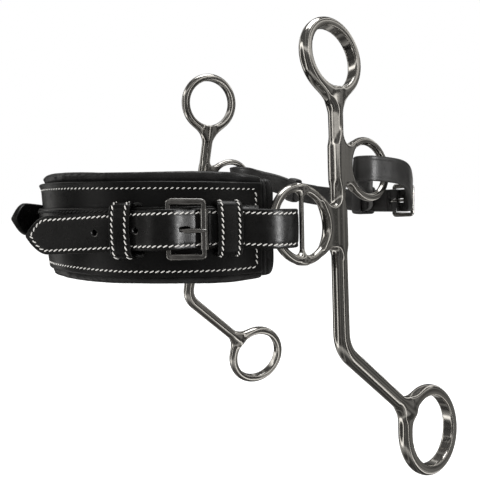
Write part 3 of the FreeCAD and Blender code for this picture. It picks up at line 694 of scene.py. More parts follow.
def plan_offset(points):
    """How far points lie outside the panel's outer face, in plan."""
    x, y = np.abs(points[:, 0]), points[:, 1]
    at_side = np.hypot(x - SIDE_X, y + NOSE_START) - SIDE_RADIUS
    at_front = np.hypot(x, y - FRONT_Y) - FRONT_RADIUS
    turn = np.degrees(np.arctan2(-(y + NOSE_START), x - SIDE_X))
    return np.where(turn < JOIN, at_side, at_front)


def sewn_to_panel(points):
    """Points of the padding that the panel's stitching holds down."""
    behind_panel = plan_offset(points) > -PANEL_THICK - 2.2
    ahead, level = -points[:, 1], points[:, 2]
    return behind_panel & (level < PANEL_HIGH(ahead) - 0.3) & (level > PANEL_LOW(ahead) + 0.3)


BINDING_REAR = -10.2
# Upright creases of the binding's outer face: (place across it, depth, width).
CREASES = ((-0.62, 0.55, 0.10), (-0.05, 0.9, 0.13), (0.55, 0.6, 0.10))


def build_end_bindings():
    """Leather gathered round each end of the padding, with upright creases."""
    rows = np.linspace(-1, 1, 81)
    low, high = PAD_LOW(14) - 0.2, PAD_HIGH(14) + 0.2
    inner, outer = NOSE_HALF - PANEL_THICK - PAD_THICK - 0.3, NOSE_HALF - 0.1
    half = np.array([outer - inner, BINDING_REAR - END_Y + 0.6]) / 2
    turns = np.radians(np.arange(0, 360, 3))
    flat = np.stack([np.sign(np.cos(turns)) * np.abs(np.cos(turns)) ** 0.45,
                     np.sign(np.sin(turns)) * np.abs(np.sin(turns)) ** 0.6], 1)
    rings = []
    for row in rows:
        shrink = (1 - abs(row) ** 9) ** 0.45 if abs(row) < 1 else 0.12
        ring = flat * half * (0.35 + 0.65 * shrink)
        for place_at, depth, width in CREASES:
            wander = place_at + 0.07 * math.sin(4 * row + 9 * place_at)
            fold = depth * np.exp(-((flat[:, 1] - wander) / width) ** 2)
            ring[:, 0] -= np.sign(flat[:, 0]) * fold * np.abs(flat[:, 0])
        gather = 0.35 * np.exp(-((flat[:, 0] - 0.3 - 0.05 * row) / 0.12) ** 2)
        gather += 0.1 * np.sin(9 * row + 5 * flat[:, 0])
        ring[:, 1] -= np.sign(flat[:, 1]) * gather * np.abs(flat[:, 1])
        rings.append(ring)
    middle = np.array([(inner + outer) / 2, (BINDING_REAR + END_Y - 0.6) / 2, (low + high) / 2])
    course = middle + np.outer(rows * (high - low) / 2, Z_AXIS)
    points, faces = sweep(course, (1.0, 0, 0), (0, 1.0, 0), rings)
    for word, side in SIDES.items():
        thing = mesh_object(f"{word}_binding", points * (side, 1, 1), faces, SOFT_LEATHER, 60)
        place(thing, "noseband", "soft_leather", f"{word}_end_binding")


# ------------------------------------------------------------------ panel and strap

def stitched_line(offset, heights, end_y):
    """A stitch line round the noseband and the outward normals under it."""
    course, out = noseband_course(offset, end_y)
    level = heights(-course[:, 1])
    return lean_out(course, out, level) + level[:, None] * Z_AXIS, out


def curled(profile):
    """The panel's section with its upper lip turned outward."""
    profile = profile.copy()
    top = profile[:, 1].max()
    profile[:, 0] += LIP_CURL * smooth_step(profile[:, 1], top - 4.0, top)
    return profile


def build_panel():
    """Outer leather panel: turned edges, sunk stitch line on all four sides."""
    points, faces = band_sweep(
        -PANEL_THICK / 2, PANEL_LOW, PANEL_HIGH,
        lambda height: curled(strap_profile(height, PANEL_THICK, 0.95, 0.35, PANEL_GROOVE, 0.3)))
    thing = mesh_object("outer_panel", points, faces, PANEL_LEATHER)
    place(thing, "noseband", "black_leather", "noseband_panel")
    seam = Stitching()
    inset = PANEL_GROOVE
    for heights in (lambda s: PANEL_LOW(s) + inset, lambda s: PANEL_HIGH(s) - inset):
        line, out = stitched_line(-0.12, heights, END_Y - inset)
        seam.row(line, out)
    for side in SIDES.values():
        levels = np.linspace(PANEL_LOW(20) + inset, PANEL_HIGH(20) - inset, 20)
        x = noseband_course(0.25, END_Y - inset)[0][0][0]
        line = np.stack([np.full(20, side * x), np.full(20, END_Y - inset), levels], 1)
        seam.row(line, np.tile((side * 1.0, -0.05, 0), (20, 1)), 1.0, 1.0)
    seam.build("panel_stitching", "noseband", THREAD)


NOSE_STRAP_LOW, NOSE_STRAP_HIGH = along_nose((20, -9.9)), along_nose((20, 9.2))
NOSE_STRAP_THICK = 2.3


def build_nose_strap():
    """Strap sewn along the middle of the panel."""
    middle = 0.05 + NOSE_STRAP_THICK / 2
    points, faces = band_sweep(
        middle, NOSE_STRAP_LOW, NOSE_STRAP_HIGH,
        lambda height: strap_profile(height, NOSE_STRAP_THICK, 0.9, 0.3, 1.8, 0.25), END_Y - 3)
    thing = mesh_object("sewn_nose_strap", points, faces, STRAP_LEATHER)
    place(thing, "noseband", "black_leather", "nose_strap")
    seam = Stitching()
    for heights in (lambda s: NOSE_STRAP_LOW(s) + 1.8, lambda s: NOSE_STRAP_HIGH(s) - 1.8):
        line, out = stitched_line(0.05 + NOSE_STRAP_THICK, heights, END_Y - 5)
        seam.row(line, out)
    seam.build("nose_strap_stitching", "noseband", DARK_THREAD)


# ----------------------------------------------------------------------------- billets

FOLD_CENTRE, FOLD_RADIUS = np.array([81.7, -12.0, 0.0]), 5.7
BILLET_WIDTH, BILLET_THICK, BILLET_TAIL = 17.5, 3.0, 43.0
BILLET_COURSE = ((4.2, 10.4), (7.0, 7.4), (10.0, 5.3), (13.5, 4.35), (20.2, 4.15), (23.0, 5.0),
                 (27.0, 8.0), (30.0, 9.4), (33.0, 8.9), (36.0, 7.1), (39.5, 4.9), (43.3, 4.3))
KEEPER_SPANS = {"rear": (9.3, 16.7, 9.2), "front": (40.1, 46.5, 8.3)}
BILLET_EDGE = 1.9
TIP_LENGTH = 10.5
# Punched holes and the slot the tongue passes through, from the billet's tip.
HOLES_FROM_TIP, SLOT_FROM_TIP = (35.0, 55.0), 76.6
HOLE_RADIUS, SLOT_HALF = 1.5, 2.6
# Height of each billet's middle at the ring, under the buckle and at its tip.
BILLET_LEVELS = {"left": (-1.4, -0.5, -3.4), "right": (-1.4, -0.5, 4.2)}


def billet_plan():
    """Plan course of the left billet from under the panel to its tip."""
    x, y = FOLD_CENTRE[:2]
    inner = np.array([[x - FOLD_RADIUS, at, 0.0] for at in np.linspace(-21.0, y, 10)[:-1]])
    fold = arc(FOLD_CENTRE, FOLD_RADIUS, (1.0, 0, 0), (0, 1.0, 0), np.linspace(180, 0, 25))
    last = KEEPER_SPANS["front"][1]
    root, ahead = side_point(last, 4.5), side_forward(last)
    controls = [fold[-1] - (0, 1.3 * i, 0) for i in range(4)]
    controls += [side_point(turn, offset) for turn, offset in BILLET_COURSE]
    controls += [root + ahead * reach for reach in np.linspace(0, BILLET_TAIL, 6)]
    outer = spline(controls, 0.8)
    return np.concatenate([inner, fold[:-1], outer])


def billet_width(to_tip):
    """Full width, then an ogive point over the last stretch."""
    share = np.clip(to_tip / TIP_LENGTH, 0, 1)
    return BILLET_WIDTH * (0.1 + 0.9 * np.sin(share * math.pi / 2) ** 0.82)


def billet_frames(word):
    """Course, outward normals and distance to the tip of one billet."""
    plan = billet_plan()
    along = tangents(plan)
    out = np.cross(Z_AXIS, along)
    travel = travelled(plan)
    ring, middle, tip = BILLET_LEVELS[word]
    level = ring + (middle - ring) * smooth_step(travel, 30, 60)
    level += (tip - middle) * smooth_step(travel, 75, travel[-1] + 12)
    return plan + level[:, None] * Z_AXIS, out, travel[-1] - travel


def punch(thing, cutters):
    """Boolean the cutters out of a piece and remove them."""
    for cutter in cutters:
        hole = thing.modifiers.new("punch", "BOOLEAN")
        hole.operation = "DIFFERENCE"
        hole.solver = "EXACT"
        hole.object = cutter
    apply_modifiers(thing)
    for cutter in cutters:
        bpy.data.objects.remove(cutter)


def cutting_rod(start, end, radius, material, stretch=1.0):
    """A rod to punch a hole with, its section stretched along the second direction."""
    start, end = np.asarray(start, float), np.asarray(end, float)
    along = unit(end - start)
    across = unit(np.cross(along, Z_AXIS if abs(along[2]) < 0.9 else (1.0, 0, 0)))
    other = np.cross(along, across)
    turns = np.radians(np.linspace(0, 360, 28, endpoint=False))
    circle = radius * np.stack([np.cos(turns), np.sin(turns) * stretch], 1)
    points, faces = sweep([start, end], across, other, [circle, circle])
    return mesh_object("cutter", points, faces, material)


def at_reach(values, to_tip, reach):
    """Values along a billet at given distances from its tip."""
    return np.stack([np.interp(reach, to_tip[::-1], column[::-1]) for column in values.T], 1)


def billet_stitch_line(course, out, to_tip):
    """One line of stitching: along the upper edge, round the tip and back below."""
    start = to_tip[int(np.argmax(course[:, 0])) - 8]
    reach = np.concatenate([np.arange(start, TIP_LENGTH, -1.0), np.linspace(TIP_LENGTH, 0, 30)])
    inset = reach + 1.15 * BILLET_EDGE * np.clip(1 - reach / TIP_LENGTH, 0, 1)
    half = np.maximum(billet_width(reach) / 2 - BILLET_EDGE, 0)
    normals = at_reach(out, to_tip, inset)
    line = at_reach(course, to_tip, inset) + normals * (BILLET_THICK / 2 + 0.12)
    upper, lower = line + half[:, None] * Z_AXIS, line - half[:, None] * Z_AXIS
    return np.concatenate([upper, lower[::-1]]), np.concatenate([normals, normals[::-1]])


def build_hole_highlight_rims(word, side, course, out, to_tip):
    """Worn raw edge round the lower rear of each punched hole: its pale grey is partly the raw
    leather's own colour and partly a painted highlight on the hole's edge.
    """
    for number, reach in enumerate(HOLES_FROM_TIP, start=1):
        centre, axis = at_reach(course, to_tip, [reach])[0], at_reach(out, to_tip, [reach])[0]
        # The rim covers only each hole's lower rear, where its pale grey paints the highlight the
        # edge catches.
        spokes = arc(0.0, 1.0, np.cross(Z_AXIS, axis), Z_AXIS, np.arange(-150, 61, 15))
        rim = centre + axis * (BILLET_THICK / 2 + 0.15) + spokes * (HOLE_RADIUS + 0.1)
        girths = 0.06 + 0.2 * np.sin(np.linspace(0, math.pi, len(rim)))
        rings = [round_section(girth, girth, count=8) for girth in girths]
        points, faces = sweep(rim, spokes, axis, rings)
        thing = mesh_object(f"{word}_billet_hole_rim_{number}", points * (side, 1, 1), faces,
                            RAW_EDGE_AND_HIGHLIGHT)
        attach(thing, "noseband")


def build_billets():
    """Stitched billets with punched holes, a tongue slot and blunt pointed tips."""
    for word, side in SIDES.items():
        course, out, to_tip = billet_frames(word)
        rings = [strap_profile(width, BILLET_THICK, 0.95, 0.35, BILLET_EDGE, 0.28)
                 for width in billet_width(to_tip)]
        points, faces = sweep(course, out, Z_AXIS, rings)
        thing = mesh_object(f"{word}_billet_strap", points * (side, 1, 1), faces,
                            STRAP_LEATHER)
        cutters = []
        for reach, radius, stretch in (*((reach, HOLE_RADIUS, 1.0) for reach in HOLES_FROM_TIP),
                                       (SLOT_FROM_TIP, SLOT_HALF, 0.5)):
            centre = at_reach(course, to_tip, [reach])[0] * (side, 1, 1)
            through = 6 * at_reach(out, to_tip, [reach])[0] * (side, 1, 1)
            cutters.append(cutting_rod(centre - through, centre + through, radius,
                                       STRAP_LEATHER, stretch))
        punch(thing, cutters)
        place(thing, "noseband", "black_leather", f"{word}_billet")
        build_hole_highlight_rims(word, side, course, out, to_tip)
        seam = Stitching()
        line, normals = billet_stitch_line(course, out, to_tip)
        seam.row(line * (side, 1, 1), normals * (side, 1, 1), 1.0, 1.0)
        seam.build(f"{word}_billet_stitching", "noseband", THREAD)


# ----------------------------------------------------------------------------- keepers

KEEPER_WALL = 1.8
KEEPER_EDGE = 1.9
# How far each keeper's feet spread rearward along the strap below it.
KEEPER_FOOT = 3.0


def keeper_path(reach, level, height):
    """(outward, height) points of a keeper that loops over the billet, foot to foot."""
    half, bulge, corner = height / 2, 0.9, 3.2
    points = [(-1.2, -half + 1.2)]
    points += [(corner * 0.4 + (reach - corner * 1.4) * t, -half + 0.35 * math.sin(math.pi * t))
               for t in (0.0, 0.5, 0.9)]
    for degrees in (-60, -30):
        turn = math.radians(degrees)
        points.append((reach - corner + corner * math.cos(turn),
                       -half + corner + corner * math.sin(turn)))
    for share in np.linspace(-1, 1, 7):
        points.append((reach + bulge * (1 - share * share), share * (half - corner)))
    points += [(u, -v) for u, v in reversed(points[:6])]
    return spline([(u, v + level, 0.0) for u, v in points], 0.55)[:, :2]


def build_keepers():
    """Leather loops round the billet, with two stitch rows each."""
    for word, side in SIDES.items():
        for name, (first, last, reach) in KEEPER_SPANS.items():
            middle = (first + last) / 2
            length = math.radians(last - first) * (SIDE_RADIUS + reach) * 0.96
            out, ahead = side_outward(middle), side_forward(middle)
            level = -0.7 if name == "rear" else BILLET_LEVELS[word][1] - 0.4
            path = keeper_path(reach - KEEPER_WALL / 2, level, 22.4)
            course = (side_point(middle, 0) + np.outer(path[:, 0], out)
                      + np.outer(path[:, 1], Z_AXIS))
            along = tangents(course)
            normals = np.cross(along, ahead)
            flare = KEEPER_FOOT * smooth_step(3.2 - path[:, 0], 0, 3.2)
            rings = [strap_profile(length + wider, KEEPER_WALL, 0.8, 0.25, KEEPER_EDGE, 0.2)
                     for wider in flare]
            spread = course - np.outer(flare / 2, ahead)
            points, faces = sweep(spread, normals, ahead, rings)
            thing = mesh_object(f"{word}_{name}_loop", points * (side, 1, 1), faces,
                                STRAP_LEATHER)
            place(thing, "noseband", "black_leather", f"{word}_{name}_keeper")
            seam = Stitching()
            shown = slice(7, len(course) - 7)
            for edge in (1, -1):
                line = (course + normals * (KEEPER_WALL / 2 + 0.1)
                        + ahead * edge * (length / 2 - KEEPER_EDGE))
                seam.row(line[shown] * (side, 1, 1), normals[shown] * (side, 1, 1))
            seam.build(f"{word}_{name}_keeper_stitching", "noseband", THREAD)


# ----------------------------------------------------------------------------- buckles

HEEL, ROLLER_BAR = side_point(30.0, 5.05), side_point(20.2, 8.0)
BUCKLE_LEVEL, TONGUE_LEVEL = -0.7, -1.2
BUCKLE_HALF = 12.7 - 0.9
ROLLER_RADIUS, HEEL_RADIUS, TONGUE_RADIUS = 2.1, 1.2, 1.0


def round_section(radius_a, radius_b, power=1.0, count=20):
    turns = np.radians(np.linspace(0, 360, count, endpoint=False))
    c, s = np.cos(turns), np.sin(turns)
    return np.stack([radius_a * np.sign(c) * np.abs(c) ** power,
                     radius_b * np.sign(s) * np.abs(s) ** power], 1)


def wire_loop(corners, rounding, spacing=0.5):
    """A closed course through corners with rounded turns."""
    corners = [np.asarray(c, float) for c in corners]
    points = []
    count = len(corners)
    for i, corner in enumerate(corners):
        before, after = corners[i - 1], corners[(i + 1) % count]
        into, onward = unit(corner - before), unit(after - corner)
        start, end = corner - into * rounding, corner + onward * rounding
        for share in np.linspace(0, 1, 9):
            points.append((1 - share) ** 2 * start + 2 * share * (1 - share) * corner
                          + share ** 2 * end)
        following = after - onward * rounding
        steps = max(int(np.linalg.norm(following - end) / spacing), 1)
        points += [end + (following - end) * i / steps for i in range(1, steps)]
    return np.array(points)


def build_wire_frame(name, heel, bar, level, half, thick, wide, rounding, node, side=1):
    """A rectangular buckle frame, flattened on its face and rounded at its corners."""
    corners = [end + Z_AXIS * (level + rise) for end, rise in
               ((heel, -half), (bar, -half), (bar, half), (heel, half))]
    course = wire_loop(corners, rounding)
    face = unit(np.cross(bar - heel, Z_AXIS))
    ahead = loop_tangents(course)
    across = unit(bar - heel)
    along_bar = ((course - heel) @ across) / np.linalg.norm(bar - heel)
    rings = []
    for position, direction in zip(along_bar, ahead):
        on_arm = abs(direction @ across)
        arm = wide * (1.45 - 0.35 * np.clip(position, 0, 1))
        width = wide * (1 - on_arm) + arm * on_arm
        rings.append(round_section(thick / 2, width / 2, 0.6))
    points, faces = sweep(course, face, np.cross(face, ahead), rings, closed=True)
    thing = mesh_object(name, points * (side, 1, 1), faces, BUCKLE_STEEL, 60)
    place(thing, node, "steel_buckles", node)


def over_bar(heel, bar, clearance, turn):
    """Where a straight pin from the heel bar passes closest to the far bar."""
    reach = bar - heel
    length = np.linalg.norm(reach)
    lift = turn * math.asin(clearance / length)
    c, s = math.cos(lift), math.sin(lift)
    along = np.array([c * reach[0] - s * reach[1], s * reach[0] + c * reach[1], 0]) / length
    return heel + along * math.sqrt(length ** 2 - clearance ** 2)


def build_tongue(name, heel, bar, rest, level, heel_radius, radius, overrun, node, side=1):
    """A tapered tongue, its root curled round the heel bar."""
    ahead, out = unit(rest - heel), unit(rest - bar)
    length = np.linalg.norm(rest - heel) + overrun
    eye = heel_radius + radius
    curl = arc(heel, eye, out, ahead, np.linspace(-250, 0, 20))
    shares = np.linspace(0.06, 1, 26)[1:]
    shaft = np.array([heel + ahead * length * s + out * eye * (1 - s) ** 2 * 0.9
                      for s in shares])
    course = np.concatenate([curl, shaft]) + Z_AXIS * level
    normals = np.cross(tangents(course), Z_AXIS)
    girths = np.interp(shares, (0, 0.75, 0.95, 1.0), (1.05, 0.95, 0.8, 0.35))
    widths = np.interp(shares, (0, 0.3, 0.95, 1.0), (1.35, 1.05, 0.9, 0.4))
    rings = [round_section(radius * 1.05, radius * 1.45, 0.9)] * len(curl)
    rings += [round_section(radius * g, radius * w, 0.9) for g, w in zip(girths, widths)]
    points, faces = sweep(course, normals, Z_AXIS, rings)
    thing = mesh_object(name, points * (side, 1, 1), faces, BUCKLE_STEEL, 60)
    place(thing, node, "steel_buckles", node)


def build_buckles():
    rest = over_bar(HEEL, ROLLER_BAR, ROLLER_RADIUS + TONGUE_RADIUS + 0.08, -1)
    for word, side in SIDES.items():
        build_wire_frame(f"{word}_buckle_wire", HEEL, ROLLER_BAR, BUCKLE_LEVEL, BUCKLE_HALF,
                         2.2, 2.3, 1.5, f"{word}_buckle_frame", side)
        build_tongue(f"{word}_buckle_pin", HEEL, ROLLER_BAR, rest, TONGUE_LEVEL, HEEL_RADIUS,
                     TONGUE_RADIUS, 2.4, f"{word}_buckle_tongue", side)
        materials = frame["nodes"][f"{word}_buckle_roller"].data.materials
        materials.clear()
        materials.append(BUCKLE_STEEL)


# Thickness of the chapes and the gap they keep from the heel bar.
CHAPE_THICK, CHAPE_GAP = 1.3, 0.08
# A chape's course from under the heel bar, then over it and down: (degrees past it, offset).
CHAPE_START = ((2.3, 3.07), (1.2, 3.07))
CHAPE_TAIL = ((1.7, 5.6), (2.7, 4.6), (3.7, 3.8), (4.7, 3.3))


def chape_sweep(course, level, width):
    """Folded leather of even width along a level course."""
    rings = [strap_profile(width, CHAPE_THICK, 0.5, 0.1)] * len(course)
    return sweep(course + Z_AXIS * level, np.cross(tangents(course), Z_AXIS), Z_AXIS, rings)


def build_chapes():
    """Folded leather that holds each noseband buckle, slotted for the tongue."""
    ahead, out = side_forward(30.0), side_outward(30.0)
    radius = HEEL_RADIUS + CHAPE_GAP + CHAPE_THICK / 2
    curl = arc(HEEL, radius, out, -ahead, np.linspace(190, -35, 18))
    start, tail = ([side_point(30 + turn, offset) for turn, offset in part]
                   for part in (CHAPE_START, CHAPE_TAIL))
    course = spline(np.concatenate([start, curl, tail]), 0.5)
    points, faces = chape_sweep(course, BUCKLE_LEVEL, 16.0)
    slot = HEEL + out * 1.5 + Z_AXIS * TONGUE_LEVEL
    for word, side in SIDES.items():
        thing = mesh_object(f"{word}_chape_fold", points * (side, 1, 1), faces,
                            STRAP_LEATHER)
        punch(thing, [cutting_rod((slot - ahead * 9) * (side, 1, 1),
                                  (slot + ahead * 2.2) * (side, 1, 1), 3.2, STRAP_LEATHER, 0.62)])
        place(thing, "noseband", "black_leather", f"{word}_buckle_chape")


# -------------------------------------------------------------------------- curb strap

UP = (0.0, 0.0, 1.0)
RIM = (0.09, -0.3, 1.0)
CURB_WIDTH, CURB_THICK, RIBBON_SPACING = 13.0, 2.2, 0.8
CURB_STRAP = (
    ((-13.3, 84.0, 15.9), UP), ((-32.4, 81.4, 19.6), UP), ((-48.6, 77.2, 25.0), UP),
    ((-60.2, 73.4, 28.4), RIM), ((-69.0, 70.2, 30.8), RIM), ((-74.6, 65.4, 32.4), RIM),
    ((-75.8, 60.0, 33.0), RIM), ((-75.0, 55.0, 32.3), RIM), ((-71.4, 52.4, 31.8), RIM),
    ((-67.6, 53.4, 31.9), RIM), ((-65.6, 57.6, 31.8), RIM), ((-63.6, 62.8, 31.0), RIM),
    ((-58.6, 68.9, 28.2), RIM), ((-48.0, 74.8, 25.0), UP), ((-32.0, 79.0, 19.7), UP),
    ((-13.0, 81.6, 15.9), UP), ((8.0, 82.2, 13.4), UP), ((24.0, 81.2, 11.9), UP),
    ((40.0, 80.9, 10.9), UP), ((57.0, 81.3, 10.6), UP))
CURB_BILLET = (
    ((20.0, 78.2, 12.6), UP), ((32.0, 77.8, 11.4), UP), ((43.0, 77.7, 11.1), UP),
    ((51.0, 73.7, 13.3), UP), ((57.6, 67.2, 16.8), UP), ((62.2, 60.2, 20.4), UP),
    ((65.2, 52.6, 24.2), UP), ((68.2, 45.8, 26.6), UP), ((72.4, 43.0, 27.2), UP),
    ((76.6, 45.0, 27.3), UP), ((79.3, 53.0, 26.9), UP), ((80.3, 61.0, 26.2), UP),
    ((80.0, 67.6, 25.2), UP), ((78.4, 73.4, 23.0), UP), ((76.0, 78.2, 18.8), UP),
    ((73.0, 82.4, 13.8), UP), ((69.6, 85.4, 11.2), UP), ((65.4, 87.4, 10.6), UP),
    ((60.0, 88.0, 10.6), UP), ((51.0, 86.4, 10.6), UP), ((43.0, 85.0, 10.7), UP),
    ((29.0, 84.6, 11.6), UP))
CURB_HEEL, CURB_BAR = np.array([60.2, 83.8, 0.0]), np.array([68.9, 88.9, 0.0])
CURB_LEVEL = 10.6
CURB_WIRE, CURB_TONGUE = 1.1, 0.8
# The curb billet's hole is a slot as wide as the tongue's swing, and its wrap beyond it.
CURB_SLOT_TURNS = (0.0, 12.0, 24.0, 36.0, 46.0)
CURB_KEEPERS = {
    "curb_keeper_right": ((-32.2, 80.2, 19.65), (0.95, 0.18, -0.25), 5.1),
    "curb_keeper_left": ((38.0, 81.1, 11.1), (1.0, 0.05, -0.04), 10.4)}


def ribbon_frames(stations):
    """Course, through and across directions of a strap that twists between stations."""
    points = np.array([centre for centre, across in stations])
    course = spline(points, RIBBON_SPACING)
    knots = travelled(points)
    travel = np.linspace(0, knots[-1], len(course))
    given = unit(np.array([across for centre, across in stations]))
    across = np.stack([np.interp(travel, knots, given[:, i]) for i in range(3)], 1)
    along = tangents(course)
    across = unit(across - along * np.sum(across * along, 1, keepdims=True))
    return course, np.cross(along, across), across


def build_ribbon(name, stations, node, point=1.0):
    """A curb strap that narrows to a share of its width at its far end."""
    course, through, across = ribbon_frames(stations)
    to_tip = np.arange(len(course))[::-1] * RIBBON_SPACING
    widths = point + (1 - point) * np.sin(np.clip(to_tip / 8.0, 0, 1) * math.pi / 2) ** 0.8
    rings = [strap_profile(CURB_WIDTH * width, CURB_THICK, 0.75, 0.2, 1.5, 0.16)
             for width in widths]
    points, faces = sweep(course, through, across, rings)
    thing = mesh_object(name, points, faces, CURB_LEATHER)
    return place(thing, "curb_strap", "black_leather", node)


def level_turn(vector, degrees):
    """A level vector turned about the vertical."""
    turn = math.radians(degrees)
    return np.array([vector[0] * math.cos(turn) - vector[1] * math.sin(turn),
                     vector[0] * math.sin(turn) + vector[1] * math.cos(turn), 0.0])


def curb_tongue_rest():
    """Where the curb tongue lies on its front bar."""
    return over_bar(CURB_HEEL, CURB_BAR, CURB_WIRE + CURB_TONGUE + 0.08, 1)


def build_curb_straps():
    build_ribbon("curb_main_strap", CURB_STRAP, "curb_strap")
    billet = build_ribbon("curb_billet_strap", CURB_BILLET, "curb_billet", 0.25)
    foot, ahead = CURB_HEEL + Z_AXIS * CURB_LEVEL, unit(curb_tongue_rest() - CURB_HEEL)
    swings = [level_turn(ahead, turn) for turn in CURB_SLOT_TURNS]
    punch(billet, [cutting_rod(foot + swing, foot + 11.5 * swing, 1.3, CURB_LEATHER)
                   for swing in swings])


def build_curb_keepers():
    """Closed loops of leather round the doubled straps."""
    for name, (centre, along, stack) in CURB_KEEPERS.items():
        ahead = unit(along)
        out = unit(np.cross(Z_AXIS, ahead))
        up = np.cross(ahead, out)
        half_out, half_up = stack / 2 + 0.75, CURB_WIDTH / 2 + 1.1
        corners = [np.array(centre) + out * a * half_out + up * b * half_up
                   for a, b in ((-1, -1), (1, -1), (1, 1), (-1, 1))]
        course = wire_loop(corners, 1.8)
        spread = np.abs((course - centre) @ up) / half_up
        side_of = np.sign((course - centre) @ out)
        course = course + np.outer(side_of * 0.35 * (1 - spread ** 2), out)
        normals = np.cross(loop_tangents(course), ahead)
        rings = [strap_profile(7.0, 1.4, 0.6, 0.2)] * len(course)
        points, faces = sweep(course, normals, ahead, rings, closed=True)
        thing = mesh_object(f"{name}_loop", points, faces, CURB_LEATHER)
        place(thing, "curb_strap", "black_leather", name)


def build_curb_buckle():
    build_wire_frame("curb_buckle_wire", CURB_HEEL, CURB_BAR, CURB_LEVEL, 8.2, 2.1, 2.0, 1.4,
                     "curb_buckle_frame")
    build_tongue("curb_buckle_pin", CURB_HEEL, CURB_BAR, curb_tongue_rest(), CURB_LEVEL,
                 CURB_WIRE, CURB_TONGUE, 1.2, "curb_buckle_tongue")


def build_curb_chape():
    """Leather folded round the curb buckle's heel bar and sewn to the main strap."""
    radius = CURB_WIRE + CHAPE_GAP + CHAPE_THICK / 2
    curl = arc(CURB_HEEL, radius, (1.0, 0, 0), (0, 1.0, 0), np.linspace(90, -90, 14))
    tail = [(x, CURB_HEEL[1] - radius + 0.06 * (57 - x), 0) for x in (57.0, 53.0, 49.0, 46.5)]
    back = [(x, CURB_HEEL[1] + radius - 0.16 * (59 - x), 0) for x in (53.0, 56.0, 59.0)]
    course = spline(np.concatenate([back, curl, tail]), 0.5)
    points, faces = chape_sweep(course, CURB_LEVEL, CURB_WIDTH)
    thing = mesh_object("curb_chape_leather", points, faces, CURB_LEATHER)
    centre, ahead = CURB_HEEL + Z_AXIS * CURB_LEVEL, unit(curb_tongue_rest() - CURB_HEEL)
    punch(thing, [cutting_rod(centre - ahead * 3, centre + ahead * 6, 1.9, CURB_LEATHER)])
    place(thing, "curb_strap", "black_leather", "curb_chape")


# ------------------------------------------------------------------ stage and camera

# Low enough for the rein rings at the end of their swing.
FLOOR_LEVEL = -0.16
CAMERA_FORWARD = Vector((-0.855, 0.5144, -0.0661)).normalized()
CAMERA_UP = Vector((-0.0485, 0.0475, 0.9977))
CAMERA_RIGHT = CAMERA_FORWARD.cross(CAMERA_UP).normalized()
CAMERA_PLACE = Vector((0.27519, -0.15086, 0.00919))
CAMERA_SENSOR, CAMERA_LENS = 36.0, 39.21
# What polished metal sees across the studio from left to right, and from floor to ceiling.
ACROSS_BANDS = ((0.0, 0.02), (0.045, 0.03), (0.06, 1.0), (0.085, 1.0), (0.105, 0.03), (0.27, 0.01),
                (0.34, 0.16), (0.38, 0.01), (0.49, 0.05), (0.54, 0.01), (0.63, 0.10), (0.68, 0.01),
                (0.78, 0.02), (0.805, 0.9), (0.83, 0.9), (0.855, 0.01), (0.94, 0.02), (0.97, 0.12),
                (0.985, 0.11), (1.0, 0.02))
UP_BANDS = ((0.0, 0.01), (0.10, 0.03), (0.18, 0.3), (0.23, 0.4), (0.28, 0.03), (0.40, 0.01),
            (0.47, 0.04), (0.53, 0.01), (0.62, 0.04), (0.68, 0.01), (0.73, 0.8), (0.78, 0.05),
            (1.0, 0.05))
# Share of the second set of bands, and how much brighter than the room they are.
UP_SHARE, GLOSS_STRENGTH = 0.42, 2.4


def fill_ramp(node, stops):
    while len(node.color_ramp.elements) < len(stops):
        node.color_ramp.elements.new(0.5)
    for element, (position, grey) in zip(node.color_ramp.elements, stops):
        element.position = position
        element.color = (grey, grey * 0.985, grey * 0.955, 1)


def studio_white(name):
    """White floor, faintly lit from within so that it meets the backdrop without an edge."""
    material, add, surface = new_material(name)
    surface(Base_Color=ramp(add, add("TexNoise", "Fac", Scale=6.0), 0.93, 0.95, 0.3, 0.7),
            Emission_Color=(1, 1, 1, 1), Emission_Strength=0.15, Roughness=0.9,
            Specular_IOR_Level=0.0)
    return material


def build_stage():
    """Wide pale floor."""
    reach, level = 6000.0, FLOOR_LEVEL / MM
    corners = [(x * reach, y * reach, level) for x, y in ((-1, -1), (1, -1), (1, 1), (-1, 1))]
    floor = mesh_object("studio_floor", corners, [(0, 1, 2, 3)], studio_white("studio_white"))
    floor.visible_glossy = False


def area_light(name, spot, aim, size, watts):
    lamp = bpy.data.lights.new(name, "AREA")
    lamp.shape = "RECTANGLE"
    lamp.size, lamp.size_y = size
    lamp.energy = watts
    thing = bpy.data.objects.new(name, lamp)
    bpy.context.scene.collection.objects.link(thing)
    thing.location = spot
    thing.rotation_euler = (Vector(aim) - Vector(spot)).to_track_quat("-Z", "Y").to_euler()
    return thing


def studio_spot(ahead, right, up):
    """A place given from the object along the camera's forward, right and up."""
    level_forward = Vector((CAMERA_FORWARD.x, CAMERA_FORWARD.y, 0)).normalized()
    return level_forward * ahead + CAMERA_RIGHT * right + Vector((0, 0, up))


def light_straps_only(lamp):
    """Keep a strong lamp to the straps: steel mirrors it harshly, and the rest greys."""
    lit = bpy.data.collections.new("lit_by_" + lamp.name)
    for thing in bpy.context.scene.objects:
        if thing.name.endswith("_strap") or thing.name.startswith("curb_"):
            lit.objects.link(thing)
    lamp.light_linking.receiver_collection = lit


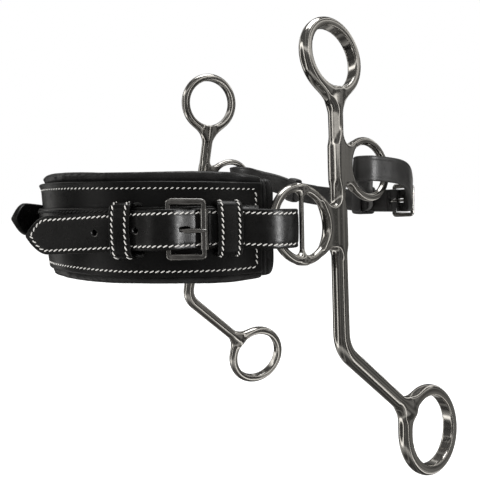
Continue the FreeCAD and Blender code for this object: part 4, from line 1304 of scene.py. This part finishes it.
def build_lights():
    """Soft boxes, and a studio world that metal sees as dark and pale bands."""
    key = area_light("key_box", studio_spot(-0.9, -0.55, 0.6), (0, 0, 0), (0.5, 0.5), 7)
    key.visible_glossy = False
    area_light("top_box", studio_spot(0.1, 0.1, 1.1), (0, 0, 0), (0.9, 0.6), 6)
    strip = area_light("side_strip", studio_spot(-0.68, 0.66, -0.04), (0.05, 0, 0), (0.10, 0.6), 8)
    light_straps_only(strip)
    world = bpy.data.worlds.new("studio")
    bpy.context.scene.world = world
    world.use_nodes = True
    add, fill = node_tools(world.node_tree)
    direction = add("TexCoord", "Generated")
    shades = []
    for axis, stops in ((CAMERA_RIGHT, ACROSS_BANDS), (Vector((0, 0, 1)), UP_BANDS)):
        dot = add("VectorMath", "Value", operation="DOT_PRODUCT", Vector=direction)
        dot.node.inputs[1].default_value = axis
        bands = add("ValToRGB", "Color", Fac=add("MapRange", "Result", From_Min=-1, Value=dot))
        fill_ramp(bands.node, stops)
        shades.append(bands)
    both = add("MixRGB", "Color", Fac=UP_SHARE, Color1=shades[0], Color2=shades[1])
    bright = add("MixRGB", "Color", blend_type="MULTIPLY", Fac=1.0, Color1=both,
                 Color2=(GLOSS_STRENGTH,) * 3 + (1,))
    seen = add("MixRGB", "Color", Fac=add("LightPath", "Is Glossy Ray"), Color1=(1, 1, 1, 1),
               Color2=bright)
    fill(world.node_tree.nodes["Background"], Color=seen)


def build_camera():
    """Camera at the photograph's angle."""
    forward, right, place_at = CAMERA_FORWARD, CAMERA_RIGHT, CAMERA_PLACE
    up = right.cross(forward).normalized()
    lens = bpy.data.cameras.new("camera")
    lens.sensor_width, lens.lens = CAMERA_SENSOR, CAMERA_LENS
    lens.clip_start = 0.01
    camera = bpy.data.objects.new("camera", lens)
    bpy.context.scene.collection.objects.link(camera)
    camera.matrix_world = Matrix((
        (right.x, up.x, -forward.x, place_at.x),
        (right.y, up.y, -forward.y, place_at.y),
        (right.z, up.z, -forward.z, place_at.z),
        (0, 0, 0, 1)))
    bpy.context.scene.camera = camera
    bpy.context.scene.view_settings.view_transform = "Standard"


for build in (build_cheeks, build_padding, build_end_bindings, build_panel, build_nose_strap,
              build_billets, build_keepers, build_buckles, build_chapes, build_curb_straps,
              build_curb_keepers, build_curb_buckle, build_curb_chape, build_stage,
              build_lights, build_camera):
    build()
